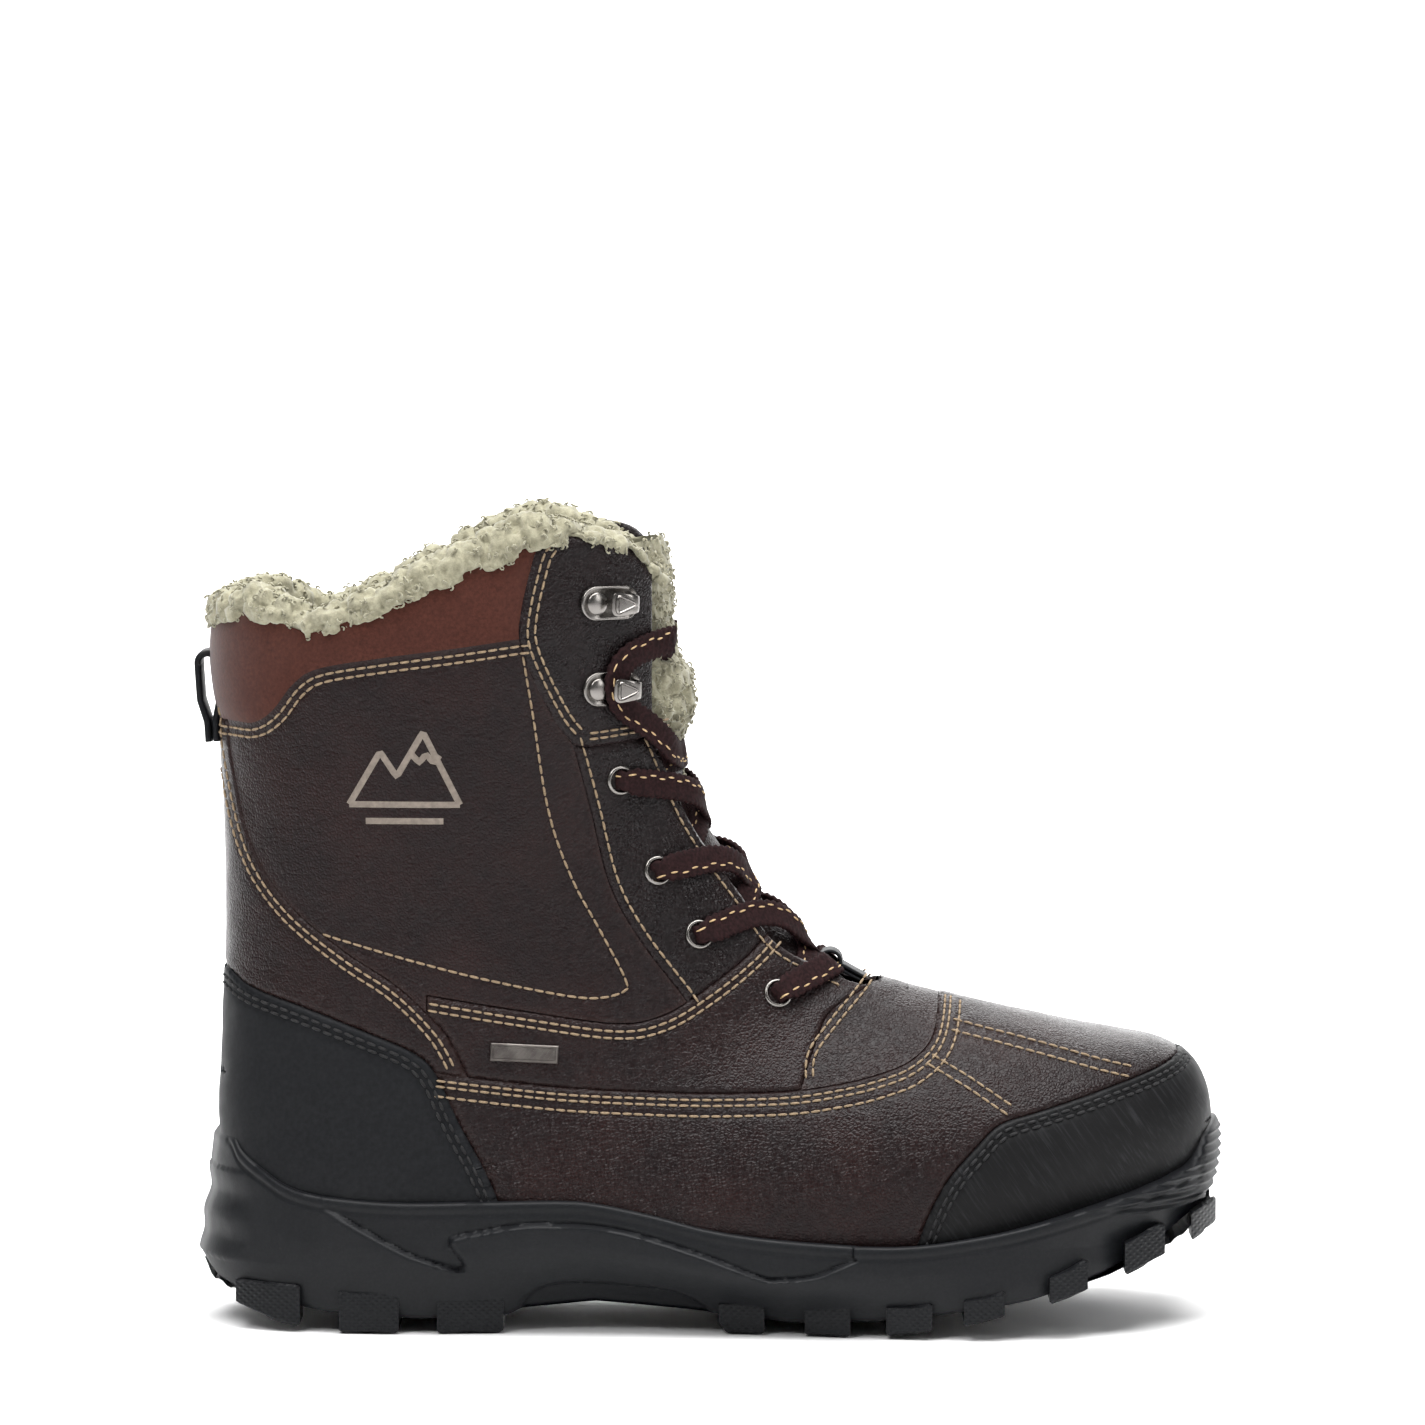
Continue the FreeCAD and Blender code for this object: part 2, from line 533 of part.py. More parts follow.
for word, side in SIDES.items():
    for number, (x, z) in enumerate(EYELETS, start=1):
        holder = "facing" if number < 4 else "instep"
        place = seat(x, z, side, 0.05 if number < 4 else 0.05 - size("skive"))
        make_eyelet(f"eyelet_{word}_{number}", place)
        hole = Part.makeCylinder(size("eyelet_barrel") + 0.05, 12, V(0, 0, -6))
        hole = hole.fuse(Part.makeCylinder(size("eyelet_outer") + 0.05, 6, V(0, 0, -0.02)))
        hole.Placement = place
        pierce(f"{holder}_{word}", hole)
    for number, (x, z) in enumerate(HOOKS, start=1):
        place = seat(x, z, side, -HOOK_SINK)
        make_hook(f"hook_{word}_{number}", place)
        make_rivet(f"rivet_{word}_{number}", place)
        half = size("hook_width") / 2
        reach = size("hook_length") / 2 - half
        bed = Part.makeBox(2 * reach, 2 * half, 6, V(-reach, -half, 0))
        for end in (-reach, reach):
            bed = bed.fuse(Part.makeCylinder(half, 6, V(end, 0, 0)))
        bed = bed.fuse(Part.makeCylinder(size("rivet_shank"), 12, V(RIVET_AT, 0, -6)))
        bed.Placement = place
        pierce(f"eyestay_{word}", bed)

# ---- badge on the instep panel ----------------------------------------------------------------
badge_place = seat(*BADGE, -1, -1.0, -3.0)
plaque = bind("Part::Box", "badge", Length="Sizes.badge_length", Width="Sizes.badge_height",
              Height="Sizes.badge_thick")
middle = V(-size("badge_length") / 2, -size("badge_height") / 2, 0)
finish(plaque, "badge", badge_place * FreeCAD.Placement(middle, FreeCAD.Rotation()))
doc.recompute()
for label in ("instep_lateral", "mudguard", "quarter_lateral"):
    pierce(label, plaque.Shape)

# ---- pull loop behind the collar --------------------------------------------------------------
strap = size("loop_strap")
gap = 0.8
legs = [bind("Part::Box", f"loop_leg{i}", (x, -size("loop_width") / 2, 0), Length="Sizes.loop_strap",
             Width="Sizes.loop_width", Height="20") for i, x in enumerate((-strap, -2 * strap - gap))]
foot = bind("Part::Box", "loop_foot", (-2 * strap - gap, -size("loop_width") / 2, -4),
            Length="2 * Sizes.loop_strap + 0.8", Width="Sizes.loop_width", Height="4.2")
turned = FreeCAD.Rotation(V(1, 0, 0), 90)
bend = bind("Part::Cylinder", "loop_bend", (-strap - gap / 2, size("loop_width") / 2, 19.95), turned,
            Radius="Sizes.loop_strap + 0.4", Height="Sizes.loop_width")
bend.Angle = 180
loop_hole = bind("Part::Cylinder", "loop_hole", (-strap - gap / 2, size("loop_width") / 2 + 1, 19.95),
                 turned,
                 Radius="0.4", Height="Sizes.loop_width + 2")
loop_solid = combine("Part::MultiFuse", "loop_solid", legs[0], [legs[1], foot, bend])
finish(combine("Part::Cut", "pull_loop", loop_solid, [loop_hole]), "pull_loop",
       FreeCAD.Placement(V(-151.3, 0, 181) * SCALE, FreeCAD.Rotation(V(0, -1, 0), 3.7)))

# ---- lace -------------------------------------------------------------------------------------
OVER = 2.2            # the lace's centre line over a panel
UNDER = -4.3          # and under one
UP = 3.3              # where it turns down into an eyelet
eyelet_at = [locate(x, z) for x, z in EYELETS]


def tube(points, radius):
    """A round cord along straight runs joined by tangent arcs."""
    edges = []
    start = points[0]
    for i in range(1, len(points) - 1):
        back = points[i - 1] - points[i]
        ahead = points[i + 1] - points[i]
        run = min(back.Length, ahead.Length)
        half_turn = (math.pi - back.getAngle(ahead)) / 2
        if half_turn < 0.01:
            continue
        bend_radius = 0.45 * run / math.tan(half_turn)
        a = points[i] + back.normalize() * (0.45 * run)
        b = points[i] + ahead.normalize() * (0.45 * run)
        centre_way = (back + ahead).normalize()
        middle = points[i] + centre_way * (bend_radius / math.cos(half_turn) - bend_radius)
        edges.append(Part.LineSegment(start, a).toShape())
        edges.append(Part.Arc(a, middle, b).toShape())
        start = b
    edges.append(Part.LineSegment(start, points[-1]).toShape())
    path = Part.Wire(edges)
    first = (points[1] - points[0]).normalize()
    ring = Part.Wire(Part.Circle(points[0], first, radius).toShape())
    return path.makePipeShell([ring], True, False)


def crossing(k, side, level):
    """From inside eyelet k of one side, over the throat, to above eyelet k - 1 of the other."""
    s0, t0 = eyelet_at[k]
    s1, t1 = eyelet_at[k - 1]
    edge = 0.56
    return [
        above(s0 + (s1 - s0) * 0.25, side * t0 * edge, UNDER + 0.8),
        above(s0 + (s1 - s0) * 0.62, 0.0, level),
        above(s0 + (s1 - s0) * 0.82, -side * t1 * edge, OVER + 1.0),
    ]


def half_route(side):
    """The lace from the keeper's side: down through eyelet 4, then up the boot to a hook's far side."""
    level = 2.0 if side > 0 else -1.9
    points = []
    for k in (3, 2, 1):
        s, t = eyelet_at[k]
        points += [above(s, side * t, UP), above(s, side * t, UNDER)]
        points += crossing(k, side, level)
        side = -side
    s, t = eyelet_at[0]
    points += [above(s, side * t, UP), above(s, side * t, UNDER)]
    points.append(above(s - 0.1, side * t * 0.56, UNDER + 0.8))
    points.append(above(s - 0.15, 0.0, level))
    lift = size("hook_plate") - HOOK_SINK + size("lace_radius") + 0.9
    for x, z, height in ((-12.5, 172.0, OVER), (-20.0, 184.5, 2.8), (-24.5, 189.2, lift),
                         (-31.5, 189.3, lift),
                         (-31.5, 199.7, lift), (-22.0, 200.6, lift), (-14.0, 207.5, 2.2)):
        s, t = locate(x, z)
        points.append(above(s, -side * t, height))
    return points


def tail_route(side):
    """The free end: on from the lace, round the flap's edge, past the tongue, and down inside the shaft."""
    before, end = half_route(side)[-2:]
    onward = (end - before).normalize()
    spots = [(-11.6, 206.0, 1.0), (-12.6, 202.5, 4.4)]
    points = [end + onward * 0.03, end + onward * 2.2]
    for x, z, depth in spots:
        s, t = locate(x, z)
        points.append(above(s, side * t, -depth))
    for x, z, depth in ((-24.0, 194.0, 4.6), (-36.4, 182.5, 5.6), (-38.6, 170.5, 12.4), (-50.0, 150.0, 15.0),
                        (-60.0, 118.0, 15.0), (-62.0, 88.0, 15.0), (-56.0, 62.0, 15.0)):
        s, t = locate(x, z)
        points.append(above(s, side * t, -depth))
    return points


keeper_s = 5.75
keeper_at = above(keeper_s, 0.0, -2.2)
keeper_way = above(locate(59.0, 102.8)[0], 0.0, 0.5 + size("keeper_thick") / 2) - keeper_at
s4, t4 = eyelet_at[3]
bar = [above((s4 + keeper_s) / 2, -t4 * 0.72, OVER)]
bar += [keeper_at + V(0, y, 0) for y in (-11.5, -7, 7, 11.5)]
bar += [above((s4 + keeper_s) / 2, t4 * 0.72, OVER)]
lace_radius = size("lace_radius")
feature("lace", tube(half_route(-1)[::-1] + bar + half_route(1), lace_radius))
for word, side in SIDES.items():
    route = tail_route(side)
    feature(f"lace_tail_{word}", tube(route, lace_radius))
    down = (route[-1] - route[-2]).normalize()
    aglet = bind("Part::Cylinder", f"aglet_{word}", Radius="Sizes.lace_radius + 0.1", Height="Sizes.aglet")
    finish(aglet, f"aglet_{word}", FreeCAD.Placement(route[-1] + down * 0.02, FreeCAD.Rotation(V(0, 0,
        1), down)))

# ---- keeper that holds the lace at the foot of the tongue -------------------------------------
across = FreeCAD.Rotation(V(1, 0, 0), -90)
ring = bind("Part::Cylinder", "keeper_ring", (0, -size("keeper_width") / 2, 0), across,
            Radius="Sizes.keeper_bore + Sizes.keeper_thick", Height="Sizes.keeper_width")
strap_end = bind("Part::Box", "keeper_strap",
                 (size("keeper_bore") + 0.4, -size("keeper_width") / 2, -size("keeper_thick") / 2),
                 Length="Sizes.keeper_tail", Width="Sizes.keeper_width", Height="Sizes.keeper_thick")
keeper_solid = combine("Part::MultiFuse", "keeper_solid", ring, [strap_end])
keeper_bore = bind("Part::Cylinder", "keeper_hole", (0, -size("keeper_width") / 2 - 1, 0), across,
                   Radius="Sizes.keeper_bore", Height="Sizes.keeper_width + 2")
keeper_frame = FreeCAD.Rotation(keeper_way, V(0, 1, 0), V(0, 0, 0), "XYZ")
finish(combine("Part::Cut", "lace_keeper", keeper_solid, [keeper_bore]), "lace_keeper",
       FreeCAD.Placement(keeper_at, keeper_frame))

doc.recompute()
for item in doc.Objects:
    if "Invalid" in item.State or "Error" in item.State:
        raise RuntimeError(f"{item.Label}: {item.State}")
    if hasattr(item, "Shape") and (item.Shape.isNull() or not item.Shape.isValid()):
        raise RuntimeError(f"{item.Label}: faulty shape")
os.makedirs("parts", exist_ok=True)
for p in parts:
    p.Shape.exportStep(f"parts/{p.Label}.step")
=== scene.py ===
"""Looks of the laced winter boot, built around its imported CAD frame. Sizes are in mm until a mesh is made."""
import bpy
import math
import numpy as np
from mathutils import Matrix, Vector, noise
from mathutils.geometry import delaunay_2d_cdt
from mathutils.bvhtree import BVHTree
from mathutils.kdtree import KDTree


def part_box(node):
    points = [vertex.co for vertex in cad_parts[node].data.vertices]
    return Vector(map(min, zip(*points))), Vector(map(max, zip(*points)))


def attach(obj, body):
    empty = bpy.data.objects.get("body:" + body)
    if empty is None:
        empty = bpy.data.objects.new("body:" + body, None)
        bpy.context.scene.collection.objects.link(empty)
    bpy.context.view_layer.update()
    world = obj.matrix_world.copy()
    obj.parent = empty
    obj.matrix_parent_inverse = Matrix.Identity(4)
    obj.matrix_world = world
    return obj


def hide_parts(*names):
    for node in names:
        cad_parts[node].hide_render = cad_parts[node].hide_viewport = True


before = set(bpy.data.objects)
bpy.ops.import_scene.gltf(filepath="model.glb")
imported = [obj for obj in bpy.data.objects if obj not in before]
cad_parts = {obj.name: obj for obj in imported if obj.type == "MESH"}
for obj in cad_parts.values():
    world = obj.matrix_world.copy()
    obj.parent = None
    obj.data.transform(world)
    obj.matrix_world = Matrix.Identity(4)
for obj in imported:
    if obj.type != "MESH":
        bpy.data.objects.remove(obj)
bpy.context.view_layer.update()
MM = 0.001

# ---- the upper's surface: the same stations as the CAD ----------------------------------------
# front x, z, back x, z, half width, widest share, nose power, tail power, sideways swing
STATIONS = np.array([
    (-9.0, 262.0, -153.0, 250.0, 50.0, 0.52, 2.2, 2.3, 0.0),
    (-8.5, 222.0, -152.5, 207.0, 48.0, 0.52, 2.2, 2.3, 0.0),
    (-6.5, 188.0, -150.0, 172.0, 45.0, 0.53, 2.1, 2.3, 0.0),
    (0.5, 161.0, -149.0, 140.0, 42.0, 0.55, 2.0, 2.2, -0.5),
    (12.5, 142.0, -149.0, 112.0, 40.0, 0.58, 1.95, 2.2, -1.0),
    (28.0, 123.5, -149.6, 84.0, 39.0, 0.62, 1.95, 2.3, -1.5),
    (45.5, 108.0, -150.0, 57.0, 39.0, 0.64, 1.95, 2.5, -2.0),
    (59.0, 102.8, -143.0, 32.0, 40.0, 0.66, 2.0, 3.0, -2.5),
    (72.0, 99.4, -105.0, 25.0, 41.5, 0.68, 2.05, 3.6, -3.0),
    (85.0, 96.2, -55.0, 23.0, 44.5, 0.70, 2.1, 4.0, -3.0),
    (98.0, 93.2, -5.0, 20.5, 48.5, 0.72, 2.15, 4.2, -2.5),
    (111.0, 90.2, 42.0, 17.0, 51.5, 0.74, 2.2, 4.2, -1.0),
    (124.0, 87.6, 82.0, 18.5, 50.5, 0.75, 2.3, 4.0, 1.5),
    (136.0, 85.0, 112.0, 23.0, 43.5, 0.74, 2.3, 3.4, 4.0),
    (146.0, 80.0, 133.0, 31.0, 33.5, 0.72, 2.25, 2.8, 6.5),
    (152.0, 70.5, 146.0, 41.0, 21.5, 0.66, 2.2, 2.5, 8.0),
    (154.0, 60.0, 152.0, 50.0, 9.0, 0.55, 2.1, 2.1, 9.0),
])
LAST = len(STATIONS) - 1


def catmull(a, b, c, d, u):
    """The Catmull-Rom value at share u between b and c."""
    return 0.5 * (2 * b + (c - a) * u + (2 * a - 5 * b + 4 * c - d) * u ** 2 + (3 * b - a - 3 * c + d) * u ** 3)


def station(s):
    """Rows of station figures at s."""
    s = np.asarray(s, float)
    i = np.clip(np.floor(s).astype(int), 0, LAST - 1)
    u = (s - i)[..., None]
    a, b, c, d = (STATIONS[np.clip(i + k, 0, LAST)] for k in (-1, 0, 1, 2))
    return catmull(a, b, c, d, u)


def skin(u, s):
    """Surface points. u is the turn: 0 in front, 0.25 medial, 0.5 behind, -0.25 lateral."""
    fx, fz, bx, bz, half, mid, nose, tail, swing = np.moveaxis(station(s), -1, 0)
    c = np.cos(2 * np.pi * np.asarray(u))
    d = np.sin(2 * np.pi * np.asarray(u))
    power = np.where(c > 0, nose, tail)
    reach = np.abs(c) ** (2 / power)
    share = np.where(c > 0, mid * (1 - reach), mid + (1 - mid) * reach)
    y = np.sign(d) * half * np.abs(d) ** (2 / power) + swing
    return np.stack([fx + share * (bx - fx), y, fz + share * (bz - fz)], -1)


def normals(u, s):
    """Outward directions of the surface."""
    u = np.asarray(u, float)
    s = np.asarray(s, float)
    across = skin(u + 0.004, s) - skin(u - 0.004, s)
    along = skin(u, np.minimum(s + 0.05, LAST)) - skin(u, np.maximum(s - 0.05, 0))
    n = np.cross(along, across)
    return n / np.maximum(np.linalg.norm(n, axis=-1, keepdims=True), 1e-9)


def above(u, s, height):
    """Points at height over the surface."""
    return skin(u, s) + normals(u, s) * np.asarray(height, float)[..., None]


def locate(x, z):
    """Turn (0 to 0.5) and station of the surface points seen at x, z in the side view."""
    x = np.asarray(x, float)
    z = np.asarray(z, float)
    low = np.zeros_like(x)
    high = np.full_like(x, LAST)
    for _ in range(32):
        middle = (low + high) / 2
        f = station(middle)
        below = (f[..., 2] - f[..., 0]) * (z - f[..., 1]) - (f[..., 3] - f[..., 1]) * (x - f[..., 0]) > 0
        low = np.where(below, middle, low)
        high = np.where(below, high, middle)
    fx, fz, bx, bz, _half, mid, nose, tail, _swing = np.moveaxis(station(low), -1, 0)
    share = ((x - fx) * (bx - fx) + (z - fz) * (bz - fz)) / ((bx - fx) ** 2 + (bz - fz) ** 2)
    inside = (share > 0) & (share < 1)
    share = np.clip(share, 0, 1)
    front = np.clip(1 - share / mid, 0, 1) ** (nose / 2)
    rear = np.clip((share - mid) / (1 - mid), 0, 1) ** (tail / 2)
    c = np.where(share < mid, front, -rear)
    return np.arccos(c) / (2 * np.pi), low, inside


# ---- seams in the side view, as in the CAD ----------------------------------------------------
TOE_CAP_EDGE = [(146, 85.5), (141, 80), (119.7, 73.5), (99, 67.5), (87.3, 64), (80, 57.5), (70, 45.6),
                (62.4, 28.5), (59, 10)]
HEEL_GUARD_EDGE = [(-160, 110), (-148.8, 108), (-140, 103), (-122.4, 97.5), (-105.3, 91.2), (-90.3, 84.9),
                   (-83.4, 78.6), (-76.5, 64.2), (-64.5, 40.5), (-57, 10)]
MUDGUARD_EDGE = [(-84, 78.6), (-63.6, 76.2), (-42.9, 74.1), (-22.2, 73.1), (0, 72.6), (23.7, 73.4),
                 (40, 75.8), (50.7, 78.4), (60, 82), (66.9, 88.6), (69.6, 99.9), (70, 108)]
BACK_PANEL_EDGE = [(-147.5, 189), (-145.9, 172), (-139.5, 146.4), (-128.1, 129.3), (-111, 115.5),
                   (-94.8, 105), (-83.4, 94.2), (-77.7, 86.1), (-73, 76)]
QUARTER_TOP = [(-160, 184), (-145.5, 183.9), (-138.6, 183.9), (-132.6, 187.8), (-125.7, 196.4), (-117.9, 201),
               (-99.3, 204.3), (-76.5, 207.3), (-52, 210.8)]
INSTEP_TOP = [(-86, 102.4), (-56.7, 97.5), (-29.1, 93.5), (-15.3, 95.4), (-1.8, 102.9), (12, 113.4), (20, 122)]
VAMP_BACK = [(50.5, 108), (48, 102.9), (36.6, 96), (31.8, 87), (25.8, 70)]
FACING_BACK = [(-43, 181), (-40.8, 175), (-36.3, 157.8), (-30.6, 135), (-21.3, 117.9), (-8.1, 100.5), (-4, 94)]
THROAT_EDGE = [(-17.7, 181), (-14.1, 171.6), (-9.3, 160.2), (-4.8, 151.2), (2.1, 140.7), (9, 131.4),
               (17.1, 119.5), (24, 113.5), (30.9, 110), (44, 104), (52, 104)]
EYESTAY_BACK = [(-46, 243), (-51.5, 238), (-54.5, 229), (-57, 217.5), (-57.3, 209), (-53.4, 198),
                (-46.5, 184.5), (-41, 177.6)]
EYESTAY_FOOT = [(-41, 177.6), (-36.3, 177), (-26.1, 178.2), (-10, 180.4)]
COLLAR_TOP = [(-160, 214), (-151.8, 214.8), (-141.9, 217.4), (-134.7, 216.3), (-121.5, 212), (-113.4, 213.9),
              (-99, 219.3), (-87.9, 224.4), (-70.8, 231.3), (-50, 239.6), (-39.6, 240.6), (-30.6, 238.8),
              (-23.7, 236.1), (-17, 228.5), (-10, 222)]
FEATHER = [(-160, 60), (-150, 58.5), (-144.9, 52.8), (-136.5, 47.7), (-127.8, 43.2), (-116.4, 40.8),
           (-96, 39.4), (-69.9, 39.9), (-46.5, 40.4), (-34.8, 39.6), (-17.7, 36.3), (0, 32.1), (20, 29.4),
           (47.4, 27.6), (63, 27.9), (79.5, 30.3), (99, 34.2), (128.4, 41.4), (143.7, 46.2), (149, 49.4),
           (152, 56), (156.2, 59.4), (160, 59.6)]


def smooth(points, step=1.0):
    """Dense points of a Catmull-Rom curve through points (any dimension)."""
    p = np.asarray(points, float)
    p = np.vstack([2 * p[0] - p[1], p, 2 * p[-1] - p[-2]])
    out = []
    for i in range(1, len(p) - 2):
        a, b, c, d = p[i - 1:i + 3]
        count = max(int(np.linalg.norm(c - b) / step), 1)
        u = (np.arange(count) / count)[:, None]
        out.append(catmull(a, b, c, d, u))
    return np.vstack(out + [p[-2:-1]])


def run_along(points):
    """The length of a polyline up to each of its points."""
    return np.concatenate([[0], np.cumsum(np.linalg.norm(np.diff(points, axis=0), axis=1))])


def resample(points, step):
    """Points at even steps along a polyline."""
    p = np.asarray(points, float)
    run = run_along(p)
    count = max(int(round(run[-1] / step)), 1)
    at = np.linspace(0, run[-1], count + 1)
    return np.stack([np.interp(at, run, p[:, k]) for k in range(p.shape[1])], -1)


def inside(polygon, x, z):
    """Which points lie in a side-view polygon."""
    hit = np.zeros(np.shape(x), bool)
    for (x0, z0), (x1, z1) in zip(polygon, np.roll(polygon, -1, axis=0)):
        crosses = (z0 > z) != (z1 > z)
        hit ^= crosses & (x < (x1 - x0) * (z - z0) / (z1 - z0 + 1e-12) + x0)
    return hit


def region(curve, corners):
    """A side-view polygon: a smoothed cut line closed by corners off the boot."""
    return np.vstack([smooth(curve), np.array(corners, float)])


BASE = -0.5     # level of the panels that lie under the others
# in cutting order: name, side-view polygon, level of the panel's face, one piece or one a side
CUTS = [
    ("", region(COLLAR_TOP, [(-10, 300), (-160, 300)]), 0, 1),
    ("", region(THROAT_EDGE, [(70, 150), (70, 300), (-17.7, 300)]), 0, 1),
    ("", region([(x, z - 19) for x, z in FEATHER], [(160, -10), (-160, -10)]), 0, 1),
    ("toe_cap", region(TOE_CAP_EDGE, [(180, 10), (180, 85.5)]), 0.3, 1),
    ("heel_guard", region(HEEL_GUARD_EDGE, [(-180, 10), (-180, 110)]), 0.3, 1),
    ("mudguard", region(MUDGUARD_EDGE, [(180, 108), (180, 0), (-100, 0), (-100, 78.6)]), 0, 1),
    ("vamp", region(VAMP_BACK, [(25.8, 60), (180, 60), (180, 108)]), BASE, 1),
    ("eyestay", np.vstack([smooth(EYESTAY_BACK), smooth(EYESTAY_FOOT), [(0, 180.4), (0, 250)]]), 0.6, 2),
    ("collar", region(QUARTER_TOP, [(-30, 250), (-160, 250)]), BASE, 1),
    ("back_panel", region(BACK_PANEL_EDGE, [(-180, 76), (-180, 189)]), 0, 1),
    ("instep", region(INSTEP_TOP, [(60, 122), (60, 60), (-86, 60)]), BASE + 0.3, 2),
    ("facing", region(FACING_BACK, [(60, 94), (60, 181)]), 0, 2),
    ("quarter", np.array([(-200, 0), (200, 0), (200, 300), (-200, 300)], float), BASE, 2),
]


# ---- mesh helpers -----------------------------------------------------------------------------
def add_object(name, data):
    """An object of data, linked in the scene."""
    made = bpy.data.objects.new(name, data)
    bpy.context.scene.collection.objects.link(made)
    return made


def add_mesh(name, points, faces, body, slot, material, shade=True):
    """A piece from points in mm, riding on a body."""
    mesh = bpy.data.meshes.new(name)
    mesh.from_pydata((np.asarray(points, float) * MM).tolist(), [], [list(map(int, f)) for f in faces])
    mesh.validate()
    if shade:
        mesh.shade_smooth()
    piece = add_object(name, mesh)
    piece.data.materials.append(material)
    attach(piece, body)
    return piece


def sharpen(piece, degrees):
    """Edges sharper than degrees are shaded as corners."""
    piece.data.set_sharp_from_angle(angle=math.radians(degrees))


def join_grids(parts):
    """Join (points, faces) lists into one."""
    points, faces, base = [], [], 0
    for p, f in parts:
        points.append(p)
        faces += [[i + base for i in face] for face in f]
        base += len(p)
    return np.vstack(points), faces


def ring_faces(rings, count):
    """Quads that join rings of count points each, one ring to the next."""
    return [[i * count + j, i * count + (j + 1) % count, (i + 1) * count + (j + 1) % count, (i + 1) * count + j]
            for i in range(rings - 1) for j in range(count)]


def sheet_faces(rows, columns):
    """Quads over a grid of points."""
    return [[i * columns + j, (i + 1) * columns + j, (i + 1) * columns + j + 1, i * columns + j + 1]
            for i in range(rows - 1) for j in range(columns - 1)]


def with_back(faces, count):
    """A sheet's faces and the same faces turned over, for a back layer that starts at point count."""
    return faces + [[i + count for i in f[::-1]] for f in faces]


def unit_along(line):
    """Unit directions along a line of points."""
    along = np.gradient(line, axis=0)
    return along / np.linalg.norm(along, axis=1, keepdims=True)


def tube_grid(path, ups, widths, heights, sides=8, power=2.0):
    """A swept ribbon or cord: superellipse sections across path, flat sides facing ups."""
    path = np.asarray(path, float)
    tangent = np.gradient(path, axis=0)
    tangent /= np.linalg.norm(tangent, axis=1, keepdims=True) + 1e-12
    side = np.cross(tangent, ups)
    side /= np.linalg.norm(side, axis=1, keepdims=True) + 1e-12
    up = np.cross(side, tangent)
    angle = 2 * np.pi * np.arange(sides) / sides
    c, d = np.cos(angle), np.sin(angle)
    a = np.sign(c) * np.abs(c) ** (2 / power)
    b = np.sign(d) * np.abs(d) ** (2 / power)
    widths = np.broadcast_to(np.asarray(widths, float), (len(path),))
    heights = np.broadcast_to(np.asarray(heights, float), (len(path),))
    rings = (path[:, None] + side[:, None] * a[None, :, None] * (widths / 2)[:, None, None]
             + up[:, None] * b[None, :, None] * (heights / 2)[:, None, None])
    points = rings.reshape(-1, 3)
    faces = ring_faces(len(path), sides)
    faces.append(list(range(sides))[::-1])
    faces.append([(len(path) - 1) * sides + j for j in range(sides)])
    return points, faces


def hash_noise(points, scale, seed=0.0):
    """Smooth noise of about -1 to 1 at each point, with features of about scale mm."""
    shift = Vector((seed * 13.7, seed * 7.1, seed * 3.3))
    return np.array([noise.noise(Vector(p) / scale + shift) for p in points])


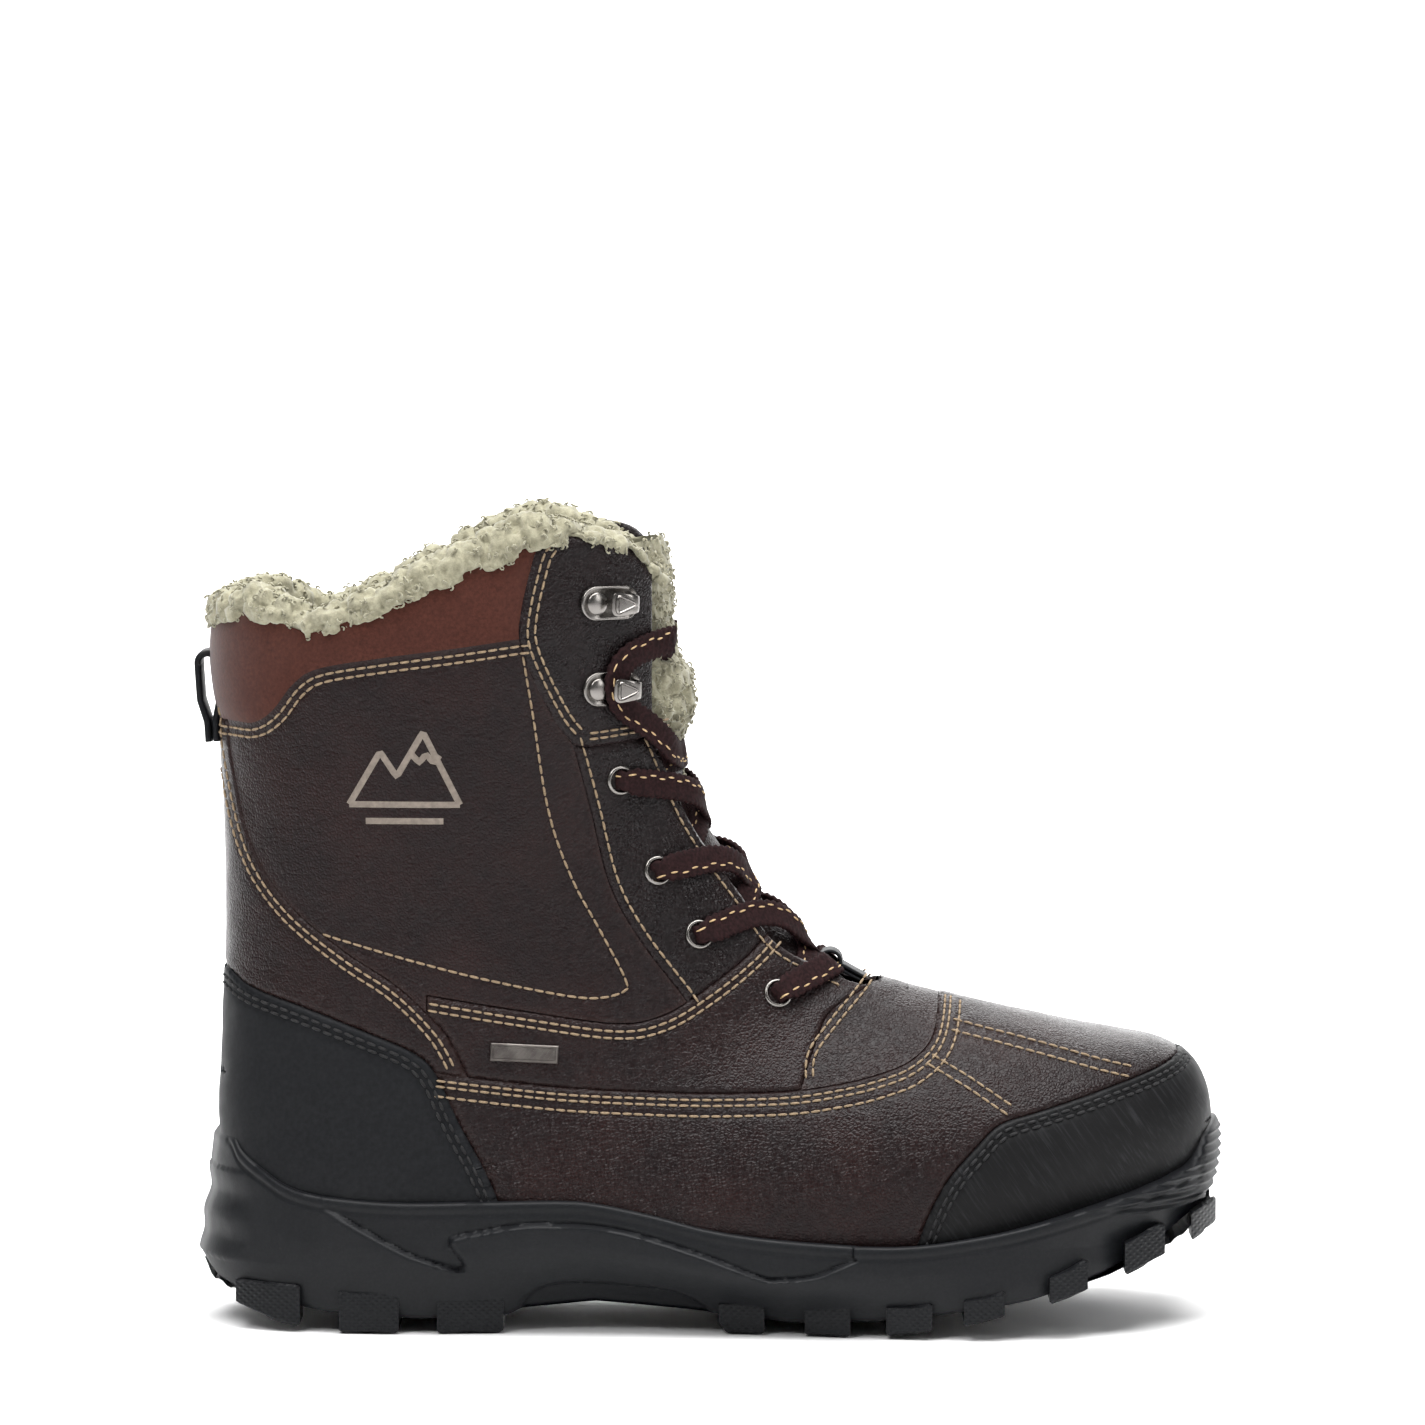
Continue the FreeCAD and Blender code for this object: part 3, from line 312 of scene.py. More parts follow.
# ---- materials --------------------------------------------------------------------------------
class Paint:
    """A small builder of node materials over object coordinates, which are metres of the row frame."""

    def __init__(self, name, roughness=0.5, metallic=0.0, **sockets):
        self.material = bpy.data.materials.new(name)
        self.material.use_nodes = True
        self.tree = self.material.node_tree
        self.shader = self.tree.nodes["Principled BSDF"]
        self.shader.inputs["Roughness"].default_value = roughness
        self.shader.inputs["Metallic"].default_value = metallic
        for key, value in sockets.items():
            self.shader.inputs[key.replace("_", " ")].default_value = value
        self.place = self.node("ShaderNodeTexCoord").outputs["Object"]
        self.height = None

    def node(self, kind, **settings):
        made = self.tree.nodes.new(kind)
        for key, value in settings.items():
            setattr(made, key, value)
        return made

    def link(self, a, b):
        self.tree.links.new(a, b)

    def stretch(self, scale=(1, 1, 1), turn=(0, 0, 0)):
        """Coordinates that make features scale times as long, along axes turned by turn."""
        made = self.node("ShaderNodeMapping", vector_type="TEXTURE")
        made.inputs["Scale"].default_value = scale
        made.inputs["Rotation"].default_value = turn
        self.link(self.place, made.inputs["Vector"])
        return made.outputs["Vector"]

    def noise(self, size_mm, detail=3.0, rough=0.55, vector=None):
        made = self.node("ShaderNodeTexNoise")
        made.inputs["Scale"].default_value = 1000 / size_mm
        made.inputs["Detail"].default_value = detail
        made.inputs["Roughness"].default_value = rough
        self.link(vector or self.place, made.inputs["Vector"])
        return made.outputs["Fac"]

    def cells(self, size_mm, vector=None):
        """Distance to the edges of irregular cells."""
        made = self.node("ShaderNodeTexVoronoi", feature="DISTANCE_TO_EDGE")
        made.inputs["Scale"].default_value = 1000 / size_mm
        self.link(vector or self.place, made.inputs["Vector"])
        return made.outputs["Distance"]

    def wave(self, size_mm, vector):
        """Straight waves across X of vector."""
        made = self.node("ShaderNodeTexWave", wave_profile="SIN", bands_direction="X")
        made.inputs["Scale"].default_value = 1000 / size_mm / math.pi
        made.inputs["Detail"].default_value = 0
        self.link(vector, made.inputs["Vector"])
        return made.outputs["Fac"]

    def ramp(self, factor, stops):
        """Colours or greys at places along factor."""
        made = self.node("ShaderNodeValToRGB")
        ramp = made.color_ramp
        while len(ramp.elements) < len(stops):
            ramp.elements.new(0.5)
        for element, (place, value) in zip(ramp.elements, stops):
            element.position = place
            element.color = (*value, 1) if hasattr(value, "__len__") else (value, value, value, 1)
        self.link(factor, made.inputs["Fac"])
        return made.outputs["Color"]

    def feed(self, socket, value):
        """A socket's link, colour or number."""
        if isinstance(value, bpy.types.NodeSocket):
            self.link(value, socket)
        elif hasattr(value, "__len__"):
            socket.default_value = (*value, 1)
        else:
            socket.default_value = value

    def mix(self, factor, a, b, blend="MIX"):
        """a and b mixed by factor, as colours."""
        made = self.node("ShaderNodeMix", data_type="RGBA", blend_type=blend)
        for index, value in ((0, factor), (6, a), (7, b)):
            self.feed(made.inputs[index], value)
        return made.outputs[2]

    def blend(self, factor, low, high, a, b, amount=1.0):
        """From a, where factor is under low, to amount of b, where it is over high."""
        return self.mix(self.ramp(factor, [(low, 0.0), (high, amount)]), a, b)

    def product(self, a, b):
        made = self.node("ShaderNodeMath", operation="MULTIPLY")
        for socket, value in zip(made.inputs, (a, b)):
            self.feed(socket, value)
        return made.outputs[0]

    def color(self, socket):
        self.link(socket, self.shader.inputs["Base Color"])

    def roughness(self, factor, low, high):
        made = self.node("ShaderNodeMapRange")
        made.inputs["To Min"].default_value = low
        made.inputs["To Max"].default_value = high
        self.link(factor, made.inputs["Value"])
        self.link(made.outputs["Result"], self.shader.inputs["Roughness"])

    def bump(self, factor, depth_mm, strength=1.0):
        made = self.node("ShaderNodeBump")
        made.inputs["Distance"].default_value = depth_mm * MM
        made.inputs["Strength"].default_value = strength
        self.link(factor, made.inputs["Height"])
        if self.height:
            self.link(self.height, made.inputs["Normal"])
        self.height = made.outputs["Normal"]
        self.link(self.height, self.shader.inputs["Normal"])

    def dull(self, level):
        """Less of the lamps' shine."""
        self.shader.inputs["Specular IOR Level"].default_value = level

    def edge_wear(self):
        """How convex the surface is, from the mesh itself."""
        return self.node("ShaderNodeNewGeometry").outputs["Pointiness"]


def leather(name, dark, tint, worn, gloss, crease=0.5):
    """Oiled leather: two reds, pores and creases in the bump, painted shade in the grooves round the pores,
    pale edges.
    """
    grain = 1.1
    p = Paint(name, roughness=gloss)
    patches = p.noise(26, 4, 0.6)
    fine = p.noise(3.2, 4, 0.65)
    base = p.blend(patches, 0.42, 0.66, dark, tint)
    base = p.blend(fine, 0.35, 0.75, base, tint, 0.55)
    pores = p.cells(grain)
    creases = p.cells(grain * 4.5, vector=p.stretch((1, 1, 0.7)))
    # painted shade: the grooves round the pore cells, where their bump sinks, are darkened
    base = p.mix(p.ramp(pores, [(0.0, 0.55), (0.22, 0.0)]), base, [c * 0.45 for c in dark])
    p.color(p.blend(p.edge_wear(), 0.53, 0.60, base, worn, 0.6))
    p.roughness(p.noise(7, 3), gloss - 0.07, gloss + 0.12)
    p.bump(p.ramp(creases, [(0.0, 0.0), (0.14, 1.0)]), 0.14, crease)
    p.bump(p.ramp(pores, [(0.0, 0.0), (0.30, 1.0)]), 0.15, 0.8)
    p.bump(p.noise(2.2, 3), 0.16, 0.5)
    p.dull(0.20)
    return p.material


LEATHER = leather("leather", (0.0105, 0.0060, 0.0064), (0.0185, 0.0078, 0.0074), (0.030, 0.016, 0.014), 0.30)
STAY_LEATHER = leather("stay_leather", (0.0080, 0.0056, 0.0060), (0.0125, 0.0074, 0.0076),
                       (0.024, 0.015, 0.015), 0.25, crease=0.6)


def guard_material():
    """Matt black coated leather."""
    p = Paint("guard", roughness=0.55)
    fine = p.noise(1.4, 3)
    p.color(p.blend(fine, 0.3, 0.75, (0.0060, 0.0066, 0.0078), (0.0105, 0.0112, 0.0130)))
    p.roughness(p.noise(5, 3), 0.46, 0.62)
    p.dull(0.16)
    p.bump(p.cells(0.7), 0.03, 0.6)
    return p.material


def toe_material():
    """Black coating with fine pale scuffs that run up and forward."""
    p = Paint("toe_guard", roughness=0.55)
    lines = p.noise(0.7, 3, 0.6, vector=p.stretch((1.0, 4.0, 18.0), (0, -0.61, 0)))
    scuff = p.ramp(lines, [(0.50, 0.0), (0.72, 1.0)])
    patch = p.ramp(p.noise(20, 2), [(0.35, 0.25), (0.65, 1.0)])
    amount = p.mix(1.0, scuff, patch, "MULTIPLY")
    p.color(p.mix(amount, (0.0048, 0.0049, 0.0054), (0.020, 0.0205, 0.0225)))
    p.roughness(p.noise(5, 3), 0.46, 0.62)
    p.dull(0.18)
    p.bump(lines, 0.10, 0.8)
    return p.material


def suede_material():
    """Red-brown suede with a soft nap."""
    p = Paint("suede", roughness=0.95, Sheen_Weight=0.25, Sheen_Roughness=0.5)
    nap = p.noise(1.1, 4, 0.7)
    soft = p.noise(16, 3)
    base = p.blend(nap, 0.3, 0.72, (0.040, 0.0115, 0.0075), (0.088, 0.0265, 0.0165))
    p.color(p.blend(soft, 0.35, 0.7, base, (0.046, 0.0135, 0.009), 0.5))
    p.dull(0.1)
    p.bump(nap, 0.12, 0.6)
    return p.material


def fleece_material(name, low, high):
    """Curly pile, with painted shade in the clefts between the clumps and between the strands."""
    p = Paint(name, roughness=0.95, Sheen_Weight=0.3, Sheen_Roughness=0.6)
    clump = p.noise(2.6, 3, 0.6)
    strand = p.noise(0.5, 2)
    # painted shade: the clumps' clefts take the darker low colour and their crowns the lighter one
    base = p.blend(clump, 0.3, 0.65, low, high)
    # painted shade: darker again where the strands' bump sinks
    p.color(p.mix(p.ramp(strand, [(0.35, 0.2), (0.6, 0.0)]), base, [c * 0.6 for c in low]))
    p.bump(clump, 0.6, 0.5)
    p.bump(strand, 0.12, 0.7)
    return p.material


def rubber_material(name, dark, pale, knurl=0.0):
    """Dull speckled rubber or board; knurl is the pitch in mm of crossed ridges."""
    p = Paint(name, roughness=0.6)
    speck = p.noise(0.9, 3, 0.7)
    dust = p.noise(18, 4)
    base = p.blend(speck, 0.4, 0.8, dark, pale, 0.6)
    p.color(p.blend(dust, 0.5, 0.85, base, pale, 0.35))
    p.roughness(p.noise(4, 3), 0.40, 0.54)
    p.dull(0.20)
    p.bump(speck, 0.06, 0.6)
    if knurl:
        rows = [p.wave(knurl, vector=p.stretch(turn=(0, turn, 0))) for turn in (0.9, -0.9)]
        p.bump(p.product(*rows), 0.25, 0.8)
    return p.material


def thread_material(name, dark, pale):
    """Twisted thread."""
    p = Paint(name, roughness=0.7)
    twist = p.noise(0.45, 2)
    p.color(p.blend(twist, 0.3, 0.7, dark, pale))
    p.bump(twist, 0.08, 0.7)
    return p.material


def lace_material():
    """Braided dark lace."""
    p = Paint("lace", roughness=0.8)
    p.dull(0.15)
    braid = p.noise(0.9, 2)
    p.color(p.blend(braid, 0.35, 0.7, (0.0090, 0.0032, 0.0036), (0.026, 0.0095, 0.0100)))
    p.bump(braid, 0.12, 0.8)
    return p.material


def metal_material(name, pale, dark, rough):
    """Plated metal with faint stains."""
    p = Paint(name, roughness=rough, metallic=1.0)
    stain = p.noise(5.0, 3, 0.5)
    p.color(p.blend(stain, 0.35, 0.75, pale, dark))
    p.roughness(p.noise(3.0, 3), rough - 0.05, rough + 0.08)
    p.bump(p.noise(2.0, 2), 0.015, 0.4)
    return p.material


GUARD = guard_material()
TOE_GUARD = toe_material()
SUEDE = suede_material()
FLEECE = fleece_material("fleece", (0.205, 0.19, 0.12), (0.385, 0.365, 0.255))
RUBBER = rubber_material("rubber", (0.0062, 0.0068, 0.0082), (0.0120, 0.0130, 0.0150))
LUG_RUBBER = rubber_material("lug_rubber", (0.0062, 0.0068, 0.0080), (0.0120, 0.0128, 0.0145), knurl=1.5)
FELT = fleece_material("felt", (0.10, 0.095, 0.085), (0.17, 0.16, 0.14))
BOARD = rubber_material("board", (0.16, 0.12, 0.075), (0.24, 0.185, 0.12))
THREAD = thread_material("thread", (0.19, 0.13, 0.075), (0.36, 0.265, 0.165))
BLACK_THREAD = thread_material("black_thread", (0.003, 0.003, 0.0035), (0.008, 0.008, 0.009))
LACE = lace_material()
TRACER = thread_material("tracer", (0.42, 0.27, 0.12), (0.72, 0.52, 0.29))
NICKEL = metal_material("nickel", (0.27, 0.255, 0.24), (0.22, 0.205, 0.192), 0.24)
ANTIQUE = metal_material("antique", (0.22, 0.20, 0.185), (0.085, 0.075, 0.07), 0.38)

# ---- the upper's panels -----------------------------------------------------------------------
TURN_MM = 420.0     # flat length that stands for a full turn
STATION_MM = 22.0   # and for one station
THICK = 2.0         # how far a panel's hidden face lies under the surface
ROLLED_EDGE = 0.9   # drop of an upper panel's face at its very edge
STITCH_PULL = 0.34  # depth of the dent along a stitch row


def on_boot(path):
    """The part of a side-view path that lies on the boot, as (u, s), up to its near-vertical front or back."""
    u, s, on = locate(path[:, 0], path[:, 1])
    return np.stack([u, s], -1)[on & (s > 0.02) & (s < LAST - 0.02)]


def seam_params():
    """Every cut line that lies on the boot, on both sides, as chains of (u, s)."""
    chains = []
    for _name, polygon, _level, _pieces in CUTS[:-1]:
        loop = resample(np.vstack([polygon, polygon[:1]]), 1.0)
        u, s, on = locate(loop[:, 0], loop[:, 1])
        on &= (s > 0.02) & (s < LAST - 0.02)
        run = []
        for k in range(len(loop)):
            if on[k]:
                run.append((u[k], s[k]))
            if (not on[k] or k == len(loop) - 1) and run:
                if len(run) > 1:
                    chains.append(np.array(run))
                run = []
    for chain in list(chains):
        for end in (0, -1):
            near = chain[end, 0]
            if near < 0.02:      # carry the seam over the front line of the boot
                chain[end, 0] = 0.0
            elif near > 0.485:   # and to the heel line
                chain[end, 0] = 0.5
        chains.append(chain * [-1, 1])
    return chains


def hex_points(step):
    """An even triangular grid over the flat field."""
    rows = np.arange(0, LAST * STATION_MM, step * 0.866)
    out = []
    for i, v in enumerate(rows):
        across = np.arange(-TURN_MM / 2 + step * (0.6 + 0.5 * (i % 2)), TURN_MM / 2 - step * 0.5, step)
        out.append(np.stack([across / TURN_MM, np.full_like(across, v / STATION_MM)], -1))
    return np.vstack(out)


def upper_field():
    """One triangulation of the whole upper along its seams: points (u, s) and triangles by panel."""
    chains = seam_params()
    heel = np.linspace(0, LAST, 260)
    for u in (-0.5, 0.5):
        chains.append(np.stack([np.full_like(heel, u), heel], -1))
    for s in (0.0, float(LAST)):
        chains.append(np.stack([np.linspace(-0.5, 0.5, 180), np.full(180, s)], -1))
    line = np.vstack(chains)
    near = nearest_to(skin(line[:, 0], line[:, 1]))
    free = []
    for step, low, high in ((1.15, 0.75, 9.0), (2.4, 9.0, 1e9)):
        grid = hex_points(step)
        gap = near(skin(grid[:, 0], grid[:, 1]))
        free.append(grid[(gap > low) & (gap <= high)])
    points = np.vstack([line] + free)
    edges, base = [], 0
    for chain in chains:
        edges += [(base + k, base + k + 1) for k in range(len(chain) - 1)]
        base += len(chain)
    flat = points * [TURN_MM, STATION_MM]
    verts, _e, triangles, *_ = delaunay_2d_cdt([Vector(p) for p in flat], edges, [], 1, 1e-4, False)
    points = np.array([tuple(v) for v in verts]) / [TURN_MM, STATION_MM]
    triangles = np.array(triangles)
    middle = points[triangles].mean(axis=1)
    seen = skin(middle[:, 0], middle[:, 1])
    owner = np.full(len(triangles), -1)
    for k, (_name, polygon, _level, _pieces) in enumerate(CUTS):
        owner[(owner < 0) & inside(polygon, seen[:, 0], seen[:, 2])] = k
    a, b, c = (skin(*points[triangles[:, i]].T) for i in range(3))
    turned = np.einsum("ij,ij->i", np.cross(b - a, c - a), normals(middle[:, 0], middle[:, 1])) < 0
    triangles[turned] = triangles[turned][:, ::-1]
    return points, triangles, owner


def nearest_to(spots):
    """A function that gives each point's distance to the nearest of spots."""
    tree = KDTree(len(spots))
    for i, p in enumerate(spots):
        tree.insert(p, i)
    tree.balance()
    return lambda points: np.array([tree.find(p)[2] for p in points])


def border_edges(triangles):
    """Directed edges that only one triangle has."""
    edges = {}
    for a, b, c in triangles:
        for e in ((a, b), (b, c), (c, a)):
            edges[e] = True
    return [e for e in edges if (e[1], e[0]) not in edges]


# ---- stitch rows: side-view path, offset from it in mm (left of its direction is positive) -----
DECOR = [(-56.4, 205), (-53.4, 186.6), (-48.9, 157.8), (-42, 137.4), (-32.7, 120), (-25.5, 105.6), (-27, 102.4),
         (-38.7, 101.1), (-65.1, 106.2), (-87.9, 111.9), (-119, 120.6)]
TIP_SEAM_A = [(72.6, 90.3), (96, 84.5), (127.2, 76.2)]
TIP_SEAM_B = [(65.1, 81.3), (77, 74.6), (89.4, 66.6)]
VAMP_PLEAT = [(49, 104), (37.5, 91.8), (31.2, 83.4), (30.6, 75.3)]
TAN_ROWS = [
    (QUARTER_TOP, (-2.2, -4.4), (2, -1)), (BACK_PANEL_EDGE, (-2.4, -4.5), (1, -6)),
    (INSTEP_TOP, (-2.6, -4.7), (1, -3)), (MUDGUARD_EDGE, (-2.1, -3.8, -6.8), (1, -1)),
    (VAMP_PLEAT, (0.2, -2.0), (0, 0)), (FACING_BACK, (2.8,), (2, -4)), (THROAT_EDGE, (-2.6,), (1, -10)),
    (EYESTAY_BACK, (2.4, 4.6), (4, -1)), (EYESTAY_FOOT, (2.4, 4.2), (4, -2)),
    (DECOR, (0,), (0, 0)), (TIP_SEAM_A, (0, 2.9), (0, 0)), (TIP_SEAM_B, (0, 2.9), (0, 0)),
]
BLACK_ROWS = [(HEEL_GUARD_EDGE, (-2.6, -4.6), (1, -4)), (TOE_CAP_EDGE, (2.4, 4.2), (1, -4))]


def offset_path(curve, distance, trim, step=0.5):
    """A side-view curve moved sideways, without trim mm at each end."""
    path = resample(smooth(curve, step), step)
    along = unit_along(path)
    path = path + np.stack([-along[:, 1], along[:, 0]], -1) * distance
    first = int(max(trim[0], 0) / step)
    last = len(path) - int(max(-trim[1], 0) / step)
    return path[first:last]


def stitch_rows(rows, pitch, length):
    """Both ends of every stitch as (u, s) pairs, on both sides."""
    made = []
    for curve, offsets, trim in rows:
        for distance in offsets:
            chain = on_boot(offset_path(curve, distance, trim))
            if len(chain) < 8:
                continue
            for side in (-1, 1):
                flat = chain * [side, 1]
                spots = skin(flat[:, 0], flat[:, 1])
                run = run_along(spots)
                starts = np.arange(0.4, run[-1] - length, pitch)
                for at in starts:
                    ends = [[np.interp(at + d, run, flat[:, k]) for k in range(2)] for d in (0, length)]
                    made.append(ends)
    return np.array(made)


tan_stitches = stitch_rows(TAN_ROWS, 3.35, 2.75)
black_stitches = stitch_rows(BLACK_ROWS, 3.7, 2.8)
all_stitches = np.vstack([tan_stitches, black_stitches])
stitch_line = np.vstack([skin(*(all_stitches[:, 0] * (1 - w) + all_stitches[:, 1] * w).T)
                         for w in (0.0, 0.33, 0.67, 1.0, 1.18)])
to_stitch = nearest_to(stitch_line)


def make_panel(name, points, triangles, level, material, slot, puff):
    """A closed sheet of leather over the field's triangles, with a rolled edge and pulled-in stitch rows."""
    used, flat = np.unique(triangles, return_inverse=True)
    triangles = flat.reshape(-1, 3)
    points = points[used]
    spots = skin(points[:, 0], points[:, 1])
    key = {}
    weld = np.arange(len(points))      # weld the two sides of the heel line
    for i in np.flatnonzero(np.abs(np.abs(points[:, 0]) - 0.5) < 1e-6):
        weld[i] = key.setdefault(round(points[i, 1], 4), i)
    triangles = weld[triangles]
    rim = border_edges(triangles)
    gap = nearest_to(spots[[a for a, _b in rim]])(spots)
    swell = hash_noise(spots, 34, 1.0) * 0.40 + hash_noise(spots, 9, 2.0) * 0.16
    height = level + swell * np.clip(gap / 6, 0, 1)
    height += puff * (1 - np.exp(-gap / 7))
    if level > BASE:
        height -= ROLLED_EDGE * (1 - np.clip(gap / 1.3, 0, 1)) ** 2
    height -= STITCH_PULL * np.exp(-(to_stitch(spots) / 1.0) ** 2)
    out = normals(points[:, 0], points[:, 1])
    count = len(points)
    faces = [list(t) for t in triangles] + [[t[0] + count, t[2] + count, t[1] + count] for t in triangles]
    faces += [[b, a, a + count, b + count] for a, b in rim]
    piece = add_mesh(name, np.vstack([spots + out * height[:, None], spots - out * THICK]),
                     faces, "boot", slot, material)
    sharpen(piece, 60)
    return piece


field, triangles, owner = upper_field()
PANEL_LOOK = {
    "toe_cap": (TOE_GUARD, "guard"), "heel_guard": (GUARD, "guard"), "collar": (SUEDE, "suede"),
    "eyestay": (STAY_LEATHER, "facing_leather"), "facing": (STAY_LEATHER, "facing_leather"),
}
panels = []
for k, (name, _polygon, level, pieces) in enumerate(CUTS):
    if not name:
        continue
    material, slot = PANEL_LOOK.get(name, (LEATHER, "leather"))
    puff = {"collar": 1.8, "eyestay": 0.3, "heel_guard": 0.2}.get(name, 0.0)
    mine = triangles[owner == k]
    side = field[mine].mean(axis=1)[:, 0]
    halves = [("", mine)] if pieces == 1 else [("_lateral", mine[side < 0]), ("_medial", mine[side > 0])]
    for word, part in halves:
        piece = make_panel(f"{name}{word}_panel", field, part, level, material, slot, puff)
        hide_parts(name + word)
        panels.append(piece)


def surface_tree(pieces):
    """A ray-casting tree over pieces, in mm."""
    points, faces, base = [], [], 0
    for piece in pieces:
        mesh = piece.data
        points += [v.co / MM for v in mesh.vertices]
        faces += [[i + base for i in p.vertices] for p in mesh.polygons]
        base += len(mesh.vertices)
    return BVHTree.FromPolygons(points, faces)


upper_tree = surface_tree(panels)


def on_panel(u, s, lift=0.0):
    """The point on the panels' real face over (u, s), and its outward direction."""
    out = Vector(normals(u, s))
    start = Vector(skin(u, s)) + out * 7
    hit, _normal, _face, _gap = upper_tree.ray_cast(start, -out, 12)
    if hit is None:
        hit = Vector(skin(u, s))
    return np.array(hit) + np.array(out) * lift, np.array(out)


def thread_capsules(stitches, thick, sink):
    """Short rounded lengths of thread, each lying on the panels."""
    parts = []
    reach = np.array([0.0, 0.07, 0.25, 0.5, 0.75, 0.93, 1.0])
    girth = np.array([0.35, 0.8, 1.0, 1.05, 1.0, 0.8, 0.35])
    dip = np.array([-0.45, -0.12, 0.0, 0.06, 0.0, -0.12, -0.45])
    for ends in stitches:
        (a, out), (b, _out) = (on_panel(*e) for e in ends)
        path = a + (b - a) * reach[:, None] + out * (thick / 2 - sink + dip * thick)[:, None]
        ups = np.repeat(out[None], len(path), axis=0)
        parts.append(tube_grid(path, ups, thick * girth, thick * girth, sides=6))
    return join_grids(parts)


for name, stitches, thick, material, slot in (
        ("tan_thread_lateral", tan_stitches[tan_stitches[:, 0, 0] < 0], 0.74, THREAD, "lace"),
        ("tan_thread_medial", tan_stitches[tan_stitches[:, 0, 0] > 0], 0.74, THREAD, "lace"),
        ("black_thread", black_stitches, 0.9, BLACK_THREAD, "guard")):
    add_mesh(name, *thread_capsules(stitches, thick, 0.15), "boot", slot, material)

# ---- the sole unit ----------------------------------------------------------------------------
# half widths: x, lateral, medial
SOLE_PLAN = [(-157, 0, 0), (-153.5, 15, 15), (-146, 27, 27), (-134, 35.5, 35.5), (-115, 41, 41),
             (-90, 42.5, 42), (-60, 41, 39), (-25, 40, 35), (10, 43.5, 38), (45, 51, 46), (70, 56, 53),
             (92, 57, 57), (112, 52, 56), (130, 41, 50), (144, 27, 40), (153, 9, 27), (156.6, -6, 17),
             (157, -11, 11)]
WALL_FOOT = [(-157, 20), (-152, 14), (-143, 11), (-116, 6.9), (-87, 5.1), (-62, 6), (-58, 7.8), (-35, 9.9),
             (0, 6.9), (25, 4.5), (49, 5.7), (72, 8.7), (96, 12.6), (120, 18.9), (142, 27.6), (150, 33),
             (155, 37), (157, 40)]
STEP_LINE = [(-115.8, 37.8), (-102, 30), (-90.3, 24), (-78.9, 20.1), (-75.6, 19.7), (-75, 21.6),
             (-78.6, 26.4), (-79.2, 28.8), (-77.1, 30), (-69.9, 31.5), (-57.9, 33.6), (-46.5, 33.9),
             (-34.8, 33.3), (-20.4, 30.6), (-0.3, 24.6), (16.8, 18.3), (21, 17.7), (32.4, 18.9),
             (38.7, 21.6), (44.4, 24)]
ARCH_LINE = [(-58, 7.5), (-54, 12), (-49.2, 14.4), (-40.5, 15.3), (-17.7, 13.8), (-7, 10.8), (-0.3, 6.5)]
GROUND = [(-160, 12), (-144, 7), (-132, 3), (-116, 0), (-62, 0), (-58, 6), (-45, 8.6), (0, 8.0), (1.4, 4),
          (4, 0), (45, 0), (62, 1.6), (82, 5.4), (108, 12.4), (131, 20.2), (150, 27.2), (160, 31)]
LUG_TOP = [(-145, 14.6), (-118, 14.0), (-112, 12.6), (-62, 12.6), (2, 9.4), (60, 9.8), (83, 13.2), (107, 20.8),
           (130, 30.0), (149, 35.0), (156, 37)]
LUGS = [(-143.7, -123.3), (-112.5, -93.3), (-83.1, -62.3), (2, 17.7), (28.2, 43.2), (52.8, 67.5), (76, 90),
        (101, 114.3), (124, 137.1), (145, 153.6)]


def curve_at(points, x):
    """The height of a smoothed side-view line at x."""
    p = smooth(points, 1.0)
    return np.interp(x, p[:, 0], p[:, 1])


def sole_outline(step):
    """Evenly spaced (x, y) round the sole, from the heel along the lateral side, and outward directions."""
    plan = np.array(SOLE_PLAN, float)
    loop = [(x, -a) for x, a, _b in plan] + [(x, b) for x, _a, b in plan[-2::-1]]
    loop = resample(smooth(loop, 0.5), step)[:-1]
    along = np.roll(loop, -1, axis=0) - np.roll(loop, 1, axis=0)
    along /= np.linalg.norm(along, axis=1, keepdims=True)
    return loop, np.stack([along[:, 1], -along[:, 0]], -1)


def gap_to_line(points, line):
    """Side-view distance of points from a smoothed line."""
    line = resample(smooth(line, 0.5), 0.5)
    flat = nearest_to(np.column_stack([line, np.zeros(len(line))]))
    return flat(np.column_stack([points, np.zeros(len(points))]))


def room_for_upper(loop, out, xs, z, lean, top, foot):
    """How much further out the wall goes so that its lip stands clear of the leather's sides."""
    side = np.sign(loop[:, 1])
    u, s, on = locate(xs.ravel(), z.ravel())
    medial, lateral = (above(turn, s, np.full(u.shape, 0.9)).reshape(*z.shape, 3)[..., 1]
                       for turn in (u, -u))
    leather = np.where(side > 0, medial, -lateral)
    need = leather - side * (loop[:, 1] + out[:, 1] * lean)
    need = np.where(on.reshape(z.shape) & (z > top - 14), need + 0.5, 0).max(axis=0)
    need *= np.clip((np.abs(out[:, 1]) - 0.6) / 0.3, 0, 1)
    need = np.clip(need, 0, 13)
    wide = 12           # points each way over which the lip is evened out
    need = np.array([np.roll(need, k) for k in range(-wide, wide + 1)]).max(axis=0)
    need = sum(np.roll(need, k) for k in range(-wide, wide + 1)) / (2 * wide + 1)
    rise = np.clip((z - foot) / (0.6 * (top - foot)), 0, 1)
    return need * rise * rise * (3 - 2 * rise)


